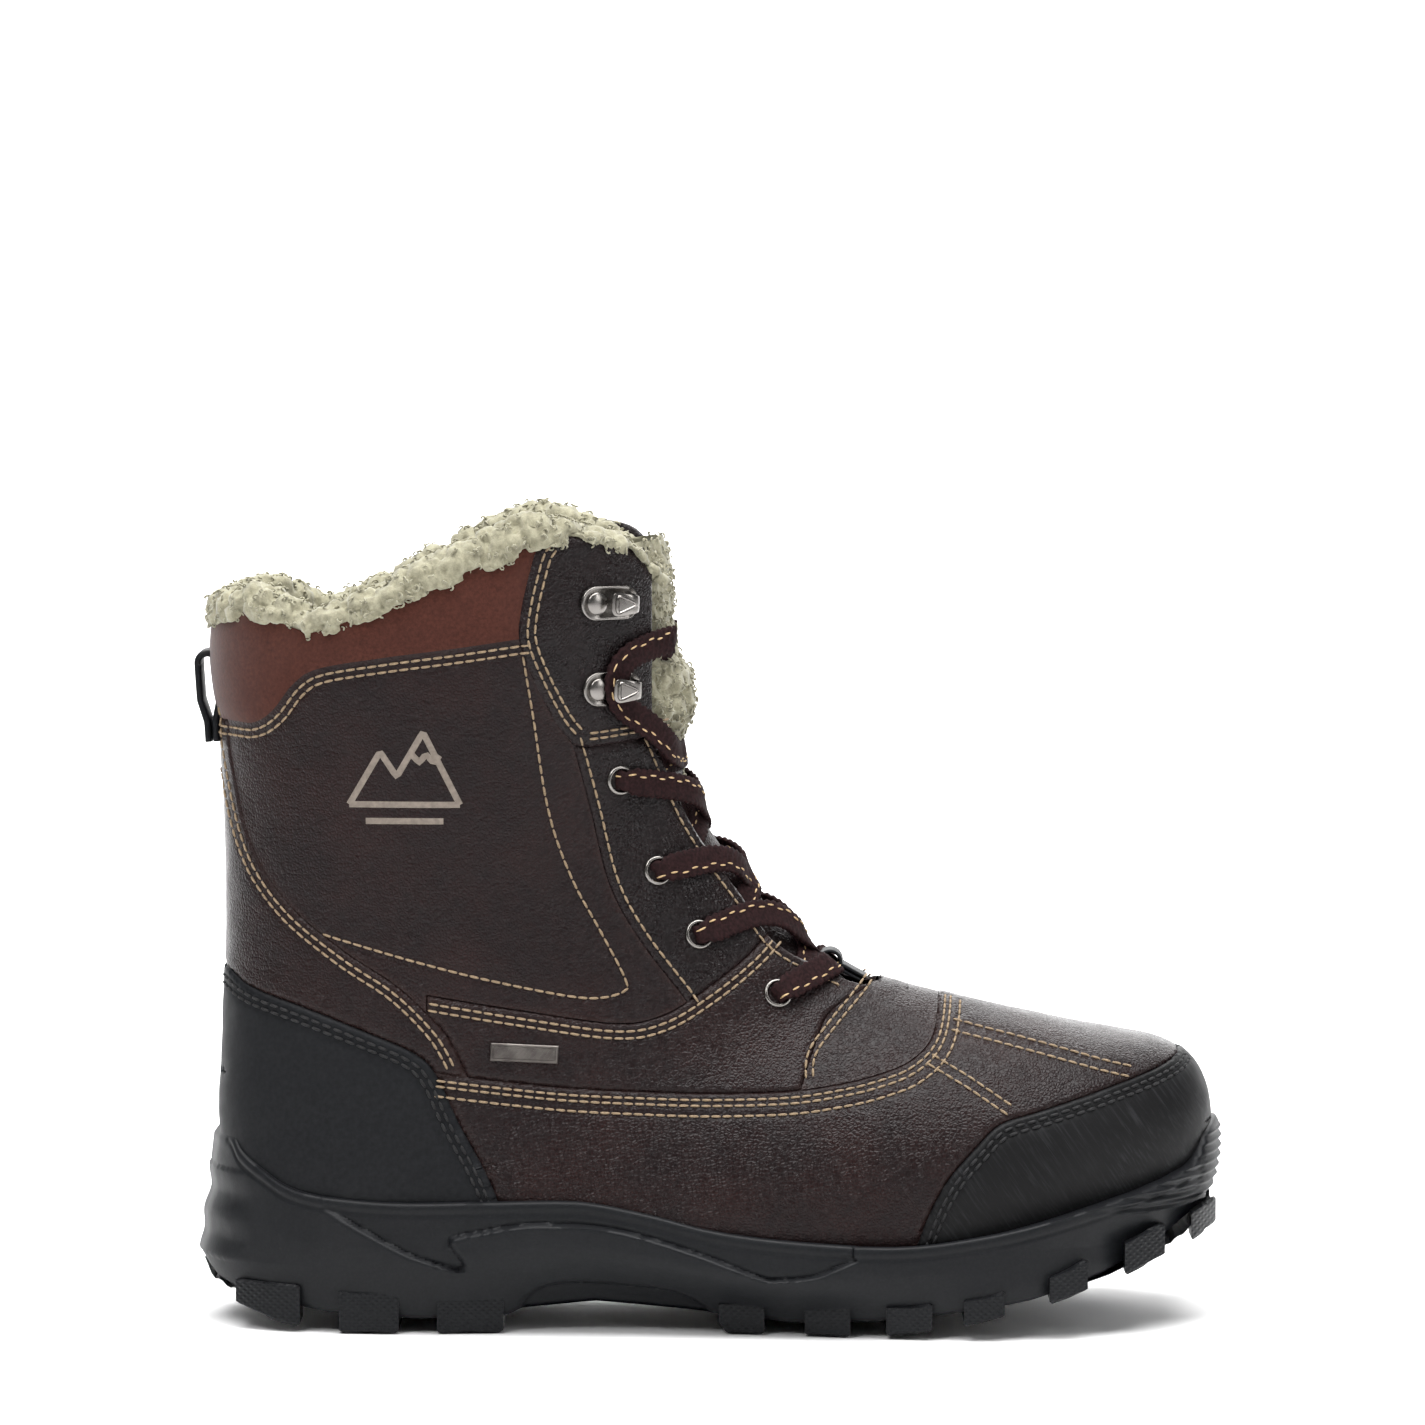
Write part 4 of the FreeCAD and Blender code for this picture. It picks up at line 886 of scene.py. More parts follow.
def sole_wall():
    """The wall all round, with its step, lip, arch and ribs, and a narrow floor and shelf inside."""
    loop, out = sole_outline(1.0)
    count = len(loop)
    x = loop[:, 0]
    top = curve_at(FEATHER, x)
    foot = np.interp(x, *np.array(WALL_FOOT).T)
    levels = np.linspace(0, 1, 60)
    z = foot[None] + (top - foot)[None] * levels[:, None]
    xs = np.broadcast_to(x, z.shape)
    seen = np.stack([xs.ravel(), z.ravel()], -1)
    lean = np.zeros(z.shape)
    heel = np.clip(-out[:, 0], 0, 1) ** 1.3
    toe = np.clip(out[:, 0], 0, 1) ** 1.3
    lean += heel * np.interp(z, [11, 20, 24, 32, 39.6, 48.9, 55.8, 59],
                             [-3, 0, -0.2, -1.4, -2.8, -3.4, -4.2, -6.6])
    lean += toe * np.interp(z, [27, 33, 38, 43, 49, 56, 60], [-8, -4.6, -2.4, -1.0, 0, 0, -0.9])
    side = 1 - np.maximum(heel, toe)
    lean += side * (-0.4 * np.clip((z - 20) / 30, 0, 1) - 1.0 * np.clip((foot + 5 - z) / 5, 0, 1) ** 2)
    step = region(STEP_LINE, [(44.4, 90), (-115.8, 90)])
    above_step = inside(step, seen[:, 0], seen[:, 1]).reshape(z.shape)
    from_step = gap_to_line(seen, STEP_LINE).reshape(z.shape)
    fade = np.clip((seen[:, 0].reshape(z.shape) + 118) / 8, 0, 1) * np.clip((50 - xs) / 8, 0, 1)
    ledge = np.clip(from_step / 0.7, 0, 1) ** 0.7
    lean += fade * np.where(above_step, -1.1 * ledge, 1.2 * ledge * np.exp(-(from_step / 14) ** 2))
    lean -= 1.1 * np.exp(-(from_step / 0.55) ** 2) * np.abs(out[:, 1]) * fade
    arch = region(ARCH_LINE, [(-0.3, 0), (-58, 0)])
    in_arch = inside(arch, seen[:, 0], seen[:, 1]).reshape(z.shape)
    from_arch = gap_to_line(seen, ARCH_LINE).reshape(z.shape)
    lean -= np.where(in_arch, 2.4 * np.clip(from_arch / 0.6, 0, 1), 0)
    lean -= 0.8 * np.exp(-(from_arch / 0.6) ** 2) * np.abs(out[:, 1])
    ribs = np.clip((-out[:, 0] - 0.55) / 0.25, 0, 1) * ((z > 20) & (z < 47))
    lean += ribs * 0.5 * np.cos((z - 20) * 2 * np.pi / 13.0)
    ribs = np.clip((out[:, 0] - 0.35) / 0.3, 0, 1) * ((z > 36) & (z < 57))
    lean += ribs * 0.45 * np.cos((z - 36) * 2 * np.pi / 3.0)
    lip = np.clip((z - top + 2.2) / 2.2, 0, 1)
    lean -= 0.5 * lip ** 3
    from_lip = top - z
    lean -= 0.35 * np.exp(-((from_lip - 3.2) / 0.6) ** 2) * (np.abs(out[:, 1]) > 0.5)
    lean += room_for_upper(loop, out, xs, z, lean, top, foot)
    ring = np.stack([xs + out[:, 0] * lean, loop[:, 1] + out[:, 1] * lean, z], -1)
    rings = [ring[i] for i in range(len(levels))]
    inner = rings[-1] - np.column_stack([out * 1.6, np.full(count, -0.35)])
    rings.append(inner)
    for step_in, drop in ((5.0, 0.6), (6.0, 0.4), (6.0, 6.0)):
        inner = inner - np.column_stack([out * step_in, np.full(count, drop)])
        rings.append(inner)
    low = rings[0] - np.column_stack([out * 1.5, np.full(count, 1.2)])
    rings = [low - np.column_stack([out * 16.0, np.full(count, -1.0)]),
             low - np.column_stack([out * 5.0, np.full(count, 0.4)]), low] + rings
    return np.vstack(rings), ring_faces(len(rings), count)


def plate():
    """The tread's plate between the lugs, from wall to wall, with shallow cross ribs."""
    loop, _out = sole_outline(1.0)
    half = len(loop) // 2
    xs = np.arange(-155.5, 155.6, 1.3)
    lateral = loop[:half + 8][np.argsort(loop[:half + 8, 0])]
    medial = loop[half - 8:][np.argsort(loop[half - 8:, 0])]
    low = np.interp(xs, lateral[:, 0], lateral[:, 1]) + 3.5
    high = np.interp(xs, medial[:, 0], medial[:, 1]) - 3.5
    ok = high - low > 2
    xs, low, high = xs[ok], low[ok], high[ok]
    share = np.linspace(0, 1, 40)
    y = low[:, None] + (high - low)[:, None] * share
    z = np.interp(xs, *np.array(WALL_FOOT).T)[:, None] - 1.0 + 0.0 * y
    z += 0.35 * np.sign(np.sin(xs * 2 * np.pi / 5.2))[:, None] * (np.abs(y) < 30)
    across = len(share)
    points = np.stack([np.broadcast_to(xs[:, None], y.shape), y, z], -1).reshape(-1, 3)
    faces = [[i * across + j + 1, (i + 1) * across + j + 1, (i + 1) * across + j, i * across + j]
             for i in range(len(xs) - 1) for j in range(across - 1)]
    return points, faces


def block(corners, foot, roof, bevel=0.9):
    """A lug: its plan corners (x, y) in turn, the ground's height at each, and the height it rises to."""
    corners = np.asarray(corners, float)
    middle = corners.mean(axis=0)
    pull = (middle - corners)
    pull /= np.linalg.norm(pull, axis=1, keepdims=True)
    rings = [np.column_stack([corners + pull * bevel * 1.4, foot]),
             np.column_stack([corners, foot + bevel * 0.8]),
             np.column_stack([corners, roof - bevel * 0.6]),
             np.column_stack([corners + pull * bevel * 2.2, roof])]
    n = len(corners)
    faces = [list(range(n))]
    for i in range(3):
        faces += [[i * n + (j + 1) % n, i * n + j, (i + 1) * n + j, (i + 1) * n + (j + 1) % n]
                  for j in range(n)]
    faces.append([3 * n + j for j in range(n)][::-1])
    return np.vstack(rings), faces


def tread():
    """The plate, with side lugs along both edges and arrow lugs down the middle."""
    loop, out = sole_outline(0.5)
    ground = lambda x: np.interp(x, *np.array(GROUND).T)
    parts = [plate()]
    for x0, x1 in LUGS:
        for side in (-1, 1):
            chosen = (np.sign(out[:, 1]) == side) & (loop[:, 0] > x0) & (loop[:, 0] < x1)
            edge = loop[chosen] + out[chosen] * 1.2
            edge = edge[np.argsort(edge[:, 0])][::4]
            if len(edge) < 3:
                continue
            inner = 22.0 if x0 > -145 and x0 < 140 else 12.0
            back = edge[::-1].copy()
            back[:, 1] = side * np.minimum(inner, np.abs(back[:, 1]) - 4)
            corners = np.vstack([edge, back[[0, -1]]])
            if side > 0:
                corners = corners[::-1]
            foot = ground(corners[:, 0])
            parts.append(block(corners, foot, np.interp(corners[:, 0], *np.array(LUG_TOP).T)))
        if x0 > -140 and x1 < 140:
            shape = [(x0, -12.5), (x1 - 3, -12.5), (x1, 0), (x1 - 3, 12.5), (x0, 12.5), (x0 + 3, 0)]
            foot = ground(np.array(shape)[:, 0]) + 0.3
            parts.append(block(shape, foot, foot + 8.5))
    return join_grids(parts)


wall = add_mesh("sole_wall", *sole_wall(), "boot", "sole_unit", RUBBER)
sharpen(wall, 50)
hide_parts("midsole")
lugs = add_mesh("tread_lugs", *tread(), "boot", "rubber", LUG_RUBBER, shade=False)
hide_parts("outsole")

# ---- fleece -----------------------------------------------------------------------------------
FLEECE_BACK = 1.5       # the backing's depth under the pile's middle
CURL_POINTS = 7


def clumps(points, size):
    """Rounded clumps of about size mm: 0 in the clefts, 1 on the crowns."""
    near = np.array([noise.voronoi(Vector(p) / size)[0][0] for p in points])
    return np.sqrt(np.clip(1 - (near / 0.75) ** 2, 0, 1))


def ruffle(points, out, amount):
    """Points lifted into large and small clumps."""
    large = (clumps(points, 5.2) - 0.6) * amount
    small = (clumps(points + 50, 2.3) - 0.6) * amount * 0.4
    return points + out * (large + small + hash_noise(points, 15, 4.0) * 0.8)[:, None]


def grid_normals(points, rows, columns):
    """Unit normals of a grid of points."""
    g = points.reshape(rows, columns, 3)
    a = np.gradient(g, axis=0)
    b = np.gradient(g, axis=1)
    n = np.cross(a, b)
    return (n / (np.linalg.norm(n, axis=-1, keepdims=True) + 1e-9)).reshape(-1, 3)


def add_fleece(name, centre, rows, columns, amount, body, slot, curls, seed):
    """A ruffled sheet over a grid of points, with loose curls on it."""
    out = grid_normals(centre, rows, columns)
    back = len(centre)
    points = np.vstack([ruffle(centre, out, amount), centre - out * FLEECE_BACK])
    sheet = add_mesh(name, points, with_back(sheet_faces(rows, columns), back), body, slot, FLEECE)
    rng = np.random.default_rng(seed)
    picks = rng.choice(back, min(curls, back), replace=False)
    parts = []
    for i in picks:
        n = out[i]
        side = np.cross(n, rng.normal(size=3))
        side /= np.linalg.norm(side)
        other = np.cross(n, side)
        size = rng.uniform(0.5, 1.05)
        turn = np.linspace(0, rng.uniform(3.2, 5.4), CURL_POINTS)
        tilt = rng.uniform(0.1, 0.9)
        path = (points[i] + side * (np.cos(turn) * size)[:, None]
                + (other * (1 - tilt) + n * tilt) * (np.sin(turn) * size)[:, None] + n * 0.25)
        girth = np.array([0.5, 0.85, 1, 1, 1, 0.85, 0.4]) * rng.uniform(0.5, 0.72)
        parts.append(tube_grid(path, np.repeat(n[None], CURL_POINTS, axis=0) + 1e-3, girth, girth, sides=4))
    curl = add_mesh(name + "_curls", *join_grids(parts), body, slot, FLEECE)
    return sheet, curl


def collar_roll():
    """Cross sections of the fleece from outside the collar's top, over it, and down inside."""
    chain = on_boot(resample(smooth(COLLAR_TOP, 1.0), 1.0))
    chain = chain[np.argsort(-chain[:, 0])]
    chain = chain[chain[:, 0] > 0.055]
    loop = np.vstack([chain[::-1] * [-1, 1], [[-0.5, chain[0, 1]]], chain])
    spots = skin(loop[:, 0], loop[:, 1])
    run = run_along(spots)
    at = np.arange(0, run[-1], 0.85)
    u = np.where(loop[:, 0] < -0.4999, -0.5, loop[:, 0])
    turned = np.where(u < 0, u + 1, u)                        # 0.5 is the heel from both sides
    u = np.interp(at, run, turned)
    s = np.interp(at, run, loop[:, 1])
    # climb over the collar's edge and height over the surface, in mm
    shape = [(-1.6, -0.3), (-0.6, 0.6), (1.0, 1.0), (2.8, 0.8), (4.4, -0.4), (5.6, -2.2), (6.2, -4.6),
             (5.6, -7.4), (5.0, -9.6), (1.5, -10.6), (-4.0, -11.0), (-12, -11.0), (-24, -10.8),
             (-40, -10.6), (-62, -10.4)]
    shape = resample(smooth(shape, 1.0), 1.05)
    rings = []
    low_front = np.interp(skin(u, s)[:, 0], [-95, -70, -55, -38], [1.0, 1.3, 1.3, 0.4])
    for climb, height in shape:
        climb = climb * low_front if climb > 0 else climb
        rings.append(above(u, np.clip(s - climb / 39.0, 0, LAST), np.full(len(u), height)))
    return np.array(rings), len(shape), len(u)


rings, rows, columns = collar_roll()
roll, _curls = add_fleece("collar_fleece", rings.reshape(-1, 3), rows, columns, 2.8, "boot", "fleece", 3600, 5)
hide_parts("collar_pile", "lining")


def tongue_face():
    """The fleece that bushes out between the flaps, over the top of the tongue."""
    u = np.linspace(-0.115, 0.115, 92)
    s = np.arange(0.62, 2.75, 0.045)
    grid_u, grid_s = np.meshgrid(u, s)
    swell = 1.4 * np.cos(np.clip(np.abs(grid_u) / 0.08, 0, 1) * np.pi / 2) ** 0.5 - 5.4
    swell += 5.4 * np.exp(-((grid_s - 1.86) / 0.30) ** 4) * np.exp(-(grid_u / 0.088) ** 6)
    swell -= 4.0 * np.clip((grid_s - 2.15) / 0.35, 0, 1) ** 2
    swell -= 3.0 * np.clip((0.85 - grid_s) / 0.25, 0, 1) ** 2
    return above(grid_u.ravel(), grid_s.ravel(), swell.ravel()), len(s), len(u)


points, rows, columns = tongue_face()
bush, _curls = add_fleece("tongue_fleece", points, rows, columns, 2.6, "tongue", "fleece", 1100, 9)
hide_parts("tongue_pile")


def tongue_leather():
    """The tongue's leather face, seen between the facings, with a raised seam down its middle."""
    side = smooth([(47, 92.5), (28, 98.5), (11, 109), (-2, 122), (-14, 138), (-21.5, 150), (-28, 172),
                   (-27, 200), (-27, 236)], 1.0)
    edge = on_boot(side)
    edge = edge[np.argsort(edge[:, 1])]
    s = np.arange(edge[0, 1] + 0.02, edge[-1, 1] - 0.02, 0.05)
    reach = np.interp(s, edge[:, 1], edge[:, 0])
    share = np.linspace(-1, 1, 46)
    u = reach[:, None] * share
    grid_s = np.broadcast_to(s[:, None], u.shape)
    height = -6.9 + 0.4 * np.exp(-(share / 0.08) ** 2) - 0.8 * np.abs(share) ** 8
    height = np.broadcast_to(height, u.shape).ravel()
    points = above(u.ravel(), grid_s.ravel(), height)
    points += normals(u.ravel(), grid_s.ravel()) * (hash_noise(points, 12, 6.0) * 0.35)[:, None]
    back = above(u.ravel(), grid_s.ravel(), height - 1.4)
    return np.vstack([points, back]), with_back(sheet_faces(len(s), len(share)), len(points))


tongue = add_mesh("tongue_leather", *tongue_leather(), "tongue", "leather", LEATHER)
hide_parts("tongue")


# ---- the far flap's folded corner, the footbed and the hidden layers --------------------------
def flap_corner():
    """The inner flap's leather, turned over its top edge and seen above the fleece."""
    run = [(-54, 237.4), (-46, 238.4), (-38, 238.6), (-30, 238.0), (-24, 236.4), (-20.6, 232.5), (-20, 227)]
    line = resample(smooth(run, 1.0), 1.0)
    u, s, _on = locate(line[:, 0], line[:, 1])
    path = above(u, np.clip(s, 0, LAST), np.full(len(u), -2.0))
    return tube_grid(path, normals(u, s), 8.5, 3.0, sides=20, power=3)


add_mesh("flap_corner", *flap_corner(), "boot", "facing_leather", STAY_LEATHER)


def footbed_pad():
    """The insole's napped top, dished at the heel, a little over the CAD footbed."""
    low, high = (np.array(c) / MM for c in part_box("footbed"))
    xs = np.arange(low[0] + 4, high[0] - 4, 3.0)
    columns = 25
    share = np.linspace(-1, 1, columns)
    floor = np.interp(xs, [-110, -40, 40, 110, 145], [49.0, 48.0, 38.5, 42.0, 50.5])
    half = np.interp(xs, [-140, -125, -90, -30, 40, 80, 115, 138], [10, 24, 29, 27, 35, 40, 34, 10])
    middle = np.interp(xs, [-140, 0, 140], [0, -1, 5])
    grid_x = np.broadcast_to(xs[:, None], (len(xs), columns))
    y = middle[:, None] + half[:, None] * share
    z = floor[:, None] + 2.2 * np.abs(share) ** 4
    return np.stack([grid_x, y, z], -1).reshape(-1, 3), len(xs), columns


points, rows, columns = footbed_pad()
faces = with_back(sheet_faces(rows, columns), len(points))
insole = add_mesh("footbed_pad", np.vstack([points, points - [0, 0, 2.0]]), faces, "boot", "felt", FELT)
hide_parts("footbed")
for node in ("insulation", "toe_puff", "heel_counter", "lasting_board", "shank"):
    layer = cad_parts[node]
    layer.data.materials.clear()
    layer.data.materials.append(FELT if node == "insulation" else BOARD)

# ---- lace -------------------------------------------------------------------------------------
EYELETS = [(-27.3, 166.5), (-16.2, 138.9), (-3.6, 119.4), (20.4, 101.2)]
HOOKS = [(-30.9, 220.5), (-30.2, 194.5)]
OVER = 2.2             # heights of the lace over the surface: on the flaps
UNDER = -4.3           # under them
UP = 3.3               # and over an eyelet
LACE_WIDE = 8.4
LACE_THICK = 1.7
LACE_STEP = 0.6        # between cross sections
LACE_POWER = 3.6       # squareness of the section
LACE_SIDES = 28
AGLET_RINGS = 12


def point_at(x, z, side, height):
    """The point at height over the surface seen at x, z from that side."""
    u, s, _on = locate(x, z)
    return above(side * u, s, height)


eyelet_at = [tuple(float(v) for v in locate(x, z)[1::-1]) for x, z in EYELETS]      # (station, turn)


def crossing(k, side, level):
    """From inside eyelet k of one side, over the throat, to above eyelet k - 1 of the other."""
    s0, t0 = eyelet_at[k]
    s1, t1 = eyelet_at[k - 1]
    climb = {1: 0.80, 2: 0.98, 3: 1.10}[k]
    return [above(side * t0 * 0.62, s0 + (s1 - s0) * 0.25, UNDER + 0.3),
            above(0.0, s0 + (s1 - s0) * 0.58, level),
            above(-side * t1 * 0.46, s0 + (s1 - s0) * climb, OVER - 0.6)]


def half_route(side):
    """The lace from the keeper's side: down through eyelet 4, then up the boot to a hook's far side."""
    level = -4.0 if side > 0 else -5.7
    points = []
    for k in (3, 2, 1):
        s, t = eyelet_at[k]
        points += [above(side * t, s, UP), above(side * t, s, UNDER)]
        points += crossing(k, side, level)
        side = -side
    s, t = eyelet_at[0]
    points += [above(side * t, s, UP), above(side * t, s, UNDER)]
    points.append(above(side * t * 0.62, s - 0.1, UNDER + 0.4))
    points.append(above(0.0, s - 0.15, level))
    for x, z, height in ((-12.0, 173.5, OVER), (-18.5, 181.5, 2.8), (-25.0, 186.4, 2.9), (-29.6, 190.8, 2.9),
                         (-30.0, 200.6, 2.9), (-23.5, 206.6, 2.9), (-13.6, 208.6, 2.2)):
        points.append(point_at(x, z, -side, height))
    return points


def tail_route(side):
    """The free end: round the flap's edge, past the tongue, and down inside the shaft."""
    spots = [(-13.6, 208.6, -2.2), (-11.4, 207.0, 0.6), (-12.4, 203.0, 4.2), (-24.0, 194.0, 4.6),
             (-36.4, 182.5, 5.6), (-38.6, 170.5, 12.4), (-50.0, 150.0, 15.0), (-60.0, 118.0, 15.0),
             (-62.0, 88.0, 15.0), (-56.0, 62.0, 15.0)]
    return [point_at(x, z, side, -depth) for x, z, depth in spots]


def route_line(name, points):
    """Close points along the smooth NURBS line of a route, in mm."""
    data = bpy.data.curves.new(name, "CURVE")
    data.dimensions = "3D"
    data.resolution_u = 14
    spline = data.splines.new("NURBS")
    spline.points.add(len(points) - 1)
    for knot, p in zip(spline.points, points):
        knot.co = (*(np.asarray(p) * MM), 1)
    spline.order_u = 3
    spline.use_endpoint_u = True
    holder = add_object(name, data)
    mesh = bpy.data.meshes.new_from_object(holder)
    line = np.array([v.co for v in mesh.vertices]) / MM
    bpy.data.objects.remove(holder)
    bpy.data.curves.remove(data)
    bpy.data.meshes.remove(mesh)
    keep = np.concatenate([[True], np.linalg.norm(np.diff(line, axis=0), axis=1) > 1e-6])
    return resample(line[keep], LACE_STEP)


def lie_of(line):
    """Which way the ribbon's flat face looks at each point: out from the boot."""
    u, s, _on = locate(line[:, 0], line[:, 2])
    u = u * np.where(line[:, 1] < 0, -1, 1)
    near = np.abs(line[:, 1]) < 6
    u = np.where(near, u * np.abs(line[:, 1]) / 6, u)
    out = normals(u, s)
    along = unit_along(line)
    out = out - along * np.einsum("ij,ij->i", out, along)[:, None]
    size = np.linalg.norm(out, axis=1)
    for i in range(1, len(out)):             # where the lace goes straight in or out, keep the last lie
        if size[i] < 0.55:
            out[i] = out[i - 1] - along[i] * np.dot(out[i - 1], along[i])
        if np.dot(out[i], out[i - 1]) < 0:
            out[i] = -out[i]
        out[i] /= np.linalg.norm(out[i]) + 1e-9
    for _ in range(6):
        out[1:-1] = (out[:-2] + 2 * out[1:-1] + out[2:]) / 4
    return out / np.linalg.norm(out, axis=1, keepdims=True)


def ribbon(line, holes=()):
    """The flat braided lace along line, squeezed where it passes the holes, with its lie and sizes."""
    ups = lie_of(line)
    wide = np.full(len(line), LACE_WIDE)
    thick = np.full(len(line), LACE_THICK)
    for hole in holes:
        pinch = np.exp(-(np.linalg.norm(line - hole, axis=1) / 3.2) ** 4)
        wide = wide * (1 - 0.30 * pinch)
        thick = thick * (1 + 0.9 * pinch)
    run = np.arange(len(line)) * LACE_STEP
    points, faces = tube_grid(line, ups, wide, thick, sides=LACE_SIDES, power=LACE_POWER)
    # four raised braid ribs along the faces, each crossed by slanting picks
    turn = 2 * np.pi * np.arange(LACE_SIDES) / LACE_SIDES
    across = np.sign(np.cos(turn)) * np.abs(np.cos(turn)) ** (2 / LACE_POWER)
    grid = points.reshape(len(line), LACE_SIDES, 3)
    middle = line[:, None]
    rib = np.abs(np.sin(across * np.pi * 2.0))[None] * 0.34
    pick = 0.28 * np.sin(run[:, None] * 2 * np.pi / 2.4 + across[None] * 5)
    away = grid - middle
    away /= np.linalg.norm(away, axis=-1, keepdims=True)
    grid = grid + away * (rib + pick)[..., None] - away * 0.08
    return grid.reshape(-1, 3), faces, ups, wide, thick


def tracer(line, ups, wide, thick):
    """Pale dashes woven in along one edge of each face."""
    side = np.cross(unit_along(line), ups)
    pitch, dash = 3.6, 2.1
    parts = []
    for face in (1, -1):
        for k, at in enumerate(np.arange(2.0, len(line) * LACE_STEP - 4, pitch)):
            i = np.clip(np.linspace(at, at + dash, 5) / LACE_STEP, 0, len(line) - 1)
            pick = lambda v: np.stack([np.interp(i, np.arange(len(v)), v[:, c]) for c in range(3)], -1)
            where = 0.24 * face + 0.045 * (-1) ** k
            up = pick(ups)
            w = np.interp(i, np.arange(len(wide)), wide)
            t = np.interp(i, np.arange(len(thick)), thick)
            path = pick(line) + pick(side) * (w * where)[:, None] + up * (face * (t / 2 + 0.10))[:, None]
            girth = np.array([0.5, 0.95, 1.05, 0.95, 0.5]) * 0.54
            parts.append(tube_grid(path, up, girth, girth, sides=6))
    return join_grids(parts)


keeper_s = 5.65
keeper_at = above(0.0, keeper_s, -4.8)
s4, t4 = eyelet_at[3]
bar = [above(-t4 * 0.5, (s4 + keeper_s) / 2, OVER), keeper_at + [0, -7, 0], keeper_at + [0, 7, 0],
       above(t4 * 0.5, (s4 + keeper_s) / 2, OVER)]
lace_points = half_route(-1)[::-1] + bar + half_route(1)
lace_line = route_line("lace_line", lace_points)
holes = [above(side * t, s, 0.0) for s, t in eyelet_at for side in (-1, 1)] + [keeper_at]
points, faces, ups, wide, thick = ribbon(lace_line, holes)
lace = add_mesh("lace_ribbon", points, faces, "boot", "lace", LACE)
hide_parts("lace")
add_mesh("lace_tracer", *tracer(lace_line, ups, wide, thick), "boot", "lace", TRACER)

for word, side in (("lateral", -1), ("medial", 1)):
    route = tail_route(side)
    line = route_line("tail_line", route)
    points, faces, ups, wide, thick = ribbon(line)
    tail = add_mesh(f"lace_end_{word}", points, faces, "boot", "lace", LACE)
    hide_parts(f"lace_tail_{word}")
    dashes = add_mesh(f"lace_end_tracer_{word}", *tracer(line, ups, wide, thick), "boot", "lace", TRACER)
    down = route[-1] - route[-2]
    down /= np.linalg.norm(down)
    sheath = route[-1] + down * np.linspace(-0.6, 13.8, AGLET_RINGS)[:, None]
    girth = np.full(AGLET_RINGS, 3.5)
    girth[-1] = 2.6
    tip = add_mesh(f"aglet_sheath_{word}",
                   *tube_grid(sheath, np.repeat(ups[-1:], AGLET_RINGS, axis=0), girth, girth, sides=20),
                   "boot", "aglet", LACE)
    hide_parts(f"aglet_{word}")


# ---- keeper and pull loop ---------------------------------------------------------------------
def frame_pose(origin, x_way, y_way):
    """A function that puts points in a frame at origin, X along x_way and Y near y_way."""
    x_way = np.array(x_way) / np.linalg.norm(x_way)
    z_way = np.cross(x_way, y_way)
    z_way /= np.linalg.norm(z_way)
    y_way = np.cross(z_way, x_way)
    return lambda p: np.asarray(origin) + np.asarray(p, float) @ np.array([x_way, y_way, z_way])


ahead = above(0.0, float(locate(56.0, 103.8)[1]), -2.2) - keeper_at
pose = frame_pose(keeper_at, ahead, (0, 1, 0))
turn = np.linspace(math.radians(8), math.radians(352), 34)
path = np.vstack([np.column_stack([np.linspace(12, 3.4, 14), np.zeros(14), np.linspace(-0.6, 0.6, 14)]),
                  np.column_stack([3.3 * np.cos(turn), np.zeros(34), 3.3 * np.sin(turn)]),
                  np.column_stack([np.linspace(3.4, 11, 14), np.zeros(14), np.linspace(-1.0, -1.9, 14)])])
way = np.gradient(path, axis=0)
lie = np.cross(way, [0, 1, 0])
keeper = add_mesh("keeper_strap", *tube_grid(pose(path), pose(lie) - np.asarray(keeper_at), 13.0, 1.3, sides=24,
                                             power=5), "boot", "leather", GUARD)
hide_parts("lace_keeper")


def pull_strap():
    """The doubled strap at the heel: up, round, and down again, leaning back a little."""
    tip = np.linspace(0, math.pi, 16)
    leg = np.linspace(-4, 20, 20)
    path = np.vstack([np.column_stack([np.full(20, -3.0), leg]),
                      np.column_stack([-3.0 * np.cos(tip), 20 + 3.0 * np.sin(tip)]),
                      np.column_stack([np.full(20, 3.0), leg[::-1]])])
    return path


STRAP_LEAN = math.radians(3.7)
strap = pull_strap()
squeeze = np.clip((strap[:, 1] - 2) / 7, 0, 1)
x = strap[:, 0] * (0.42 + 0.58 * squeeze)
x, z = x * math.cos(STRAP_LEAN) - strap[:, 1] * math.sin(STRAP_LEAN), (
    x * math.sin(STRAP_LEAN) + strap[:, 1] * math.cos(STRAP_LEAN))
path = np.column_stack([x - 152.4, np.zeros(len(x)), z + 180.5])
lie = np.cross(np.gradient(path, axis=0), [0, 1, 0])
loop = add_mesh("heel_loop", *tube_grid(path, lie, 17.5, 2.3, sides=24, power=5), "pull_loop", "webbing", GUARD)
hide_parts("pull_loop")

# ---- eyelets, hooks and badge -----------------------------------------------------------------
def lathe(profile, sides):
    """A turned shape about +Z from (radius, height) pairs; the profile may close on itself."""
    profile = np.asarray(profile, float)
    turn = 2 * np.pi * np.arange(sides) / sides
    points = np.vstack([np.column_stack([r * np.cos(turn), r * np.sin(turn), np.full(sides, h)])
                        for r, h in profile])
    return points, ring_faces(len(profile), sides)


def seat(x, z, side, toward):
    """A pose on the panels at a side-view point: X points along toward in the side view, Z outward."""
    u, s, _on = locate(x, z)
    at, out = on_panel(side * float(u), float(s))
    u2, s2, _on = locate(x + toward[0], z + toward[1])
    way = above(side * float(u2), float(s2), 0.0) - above(side * float(u), float(s), 0.0)
    way = way - out * np.dot(way, out)
    way /= np.linalg.norm(way)
    across = np.cross(out, way)
    return lambda p: at + np.asarray(p, float) @ np.array([way, across, out])


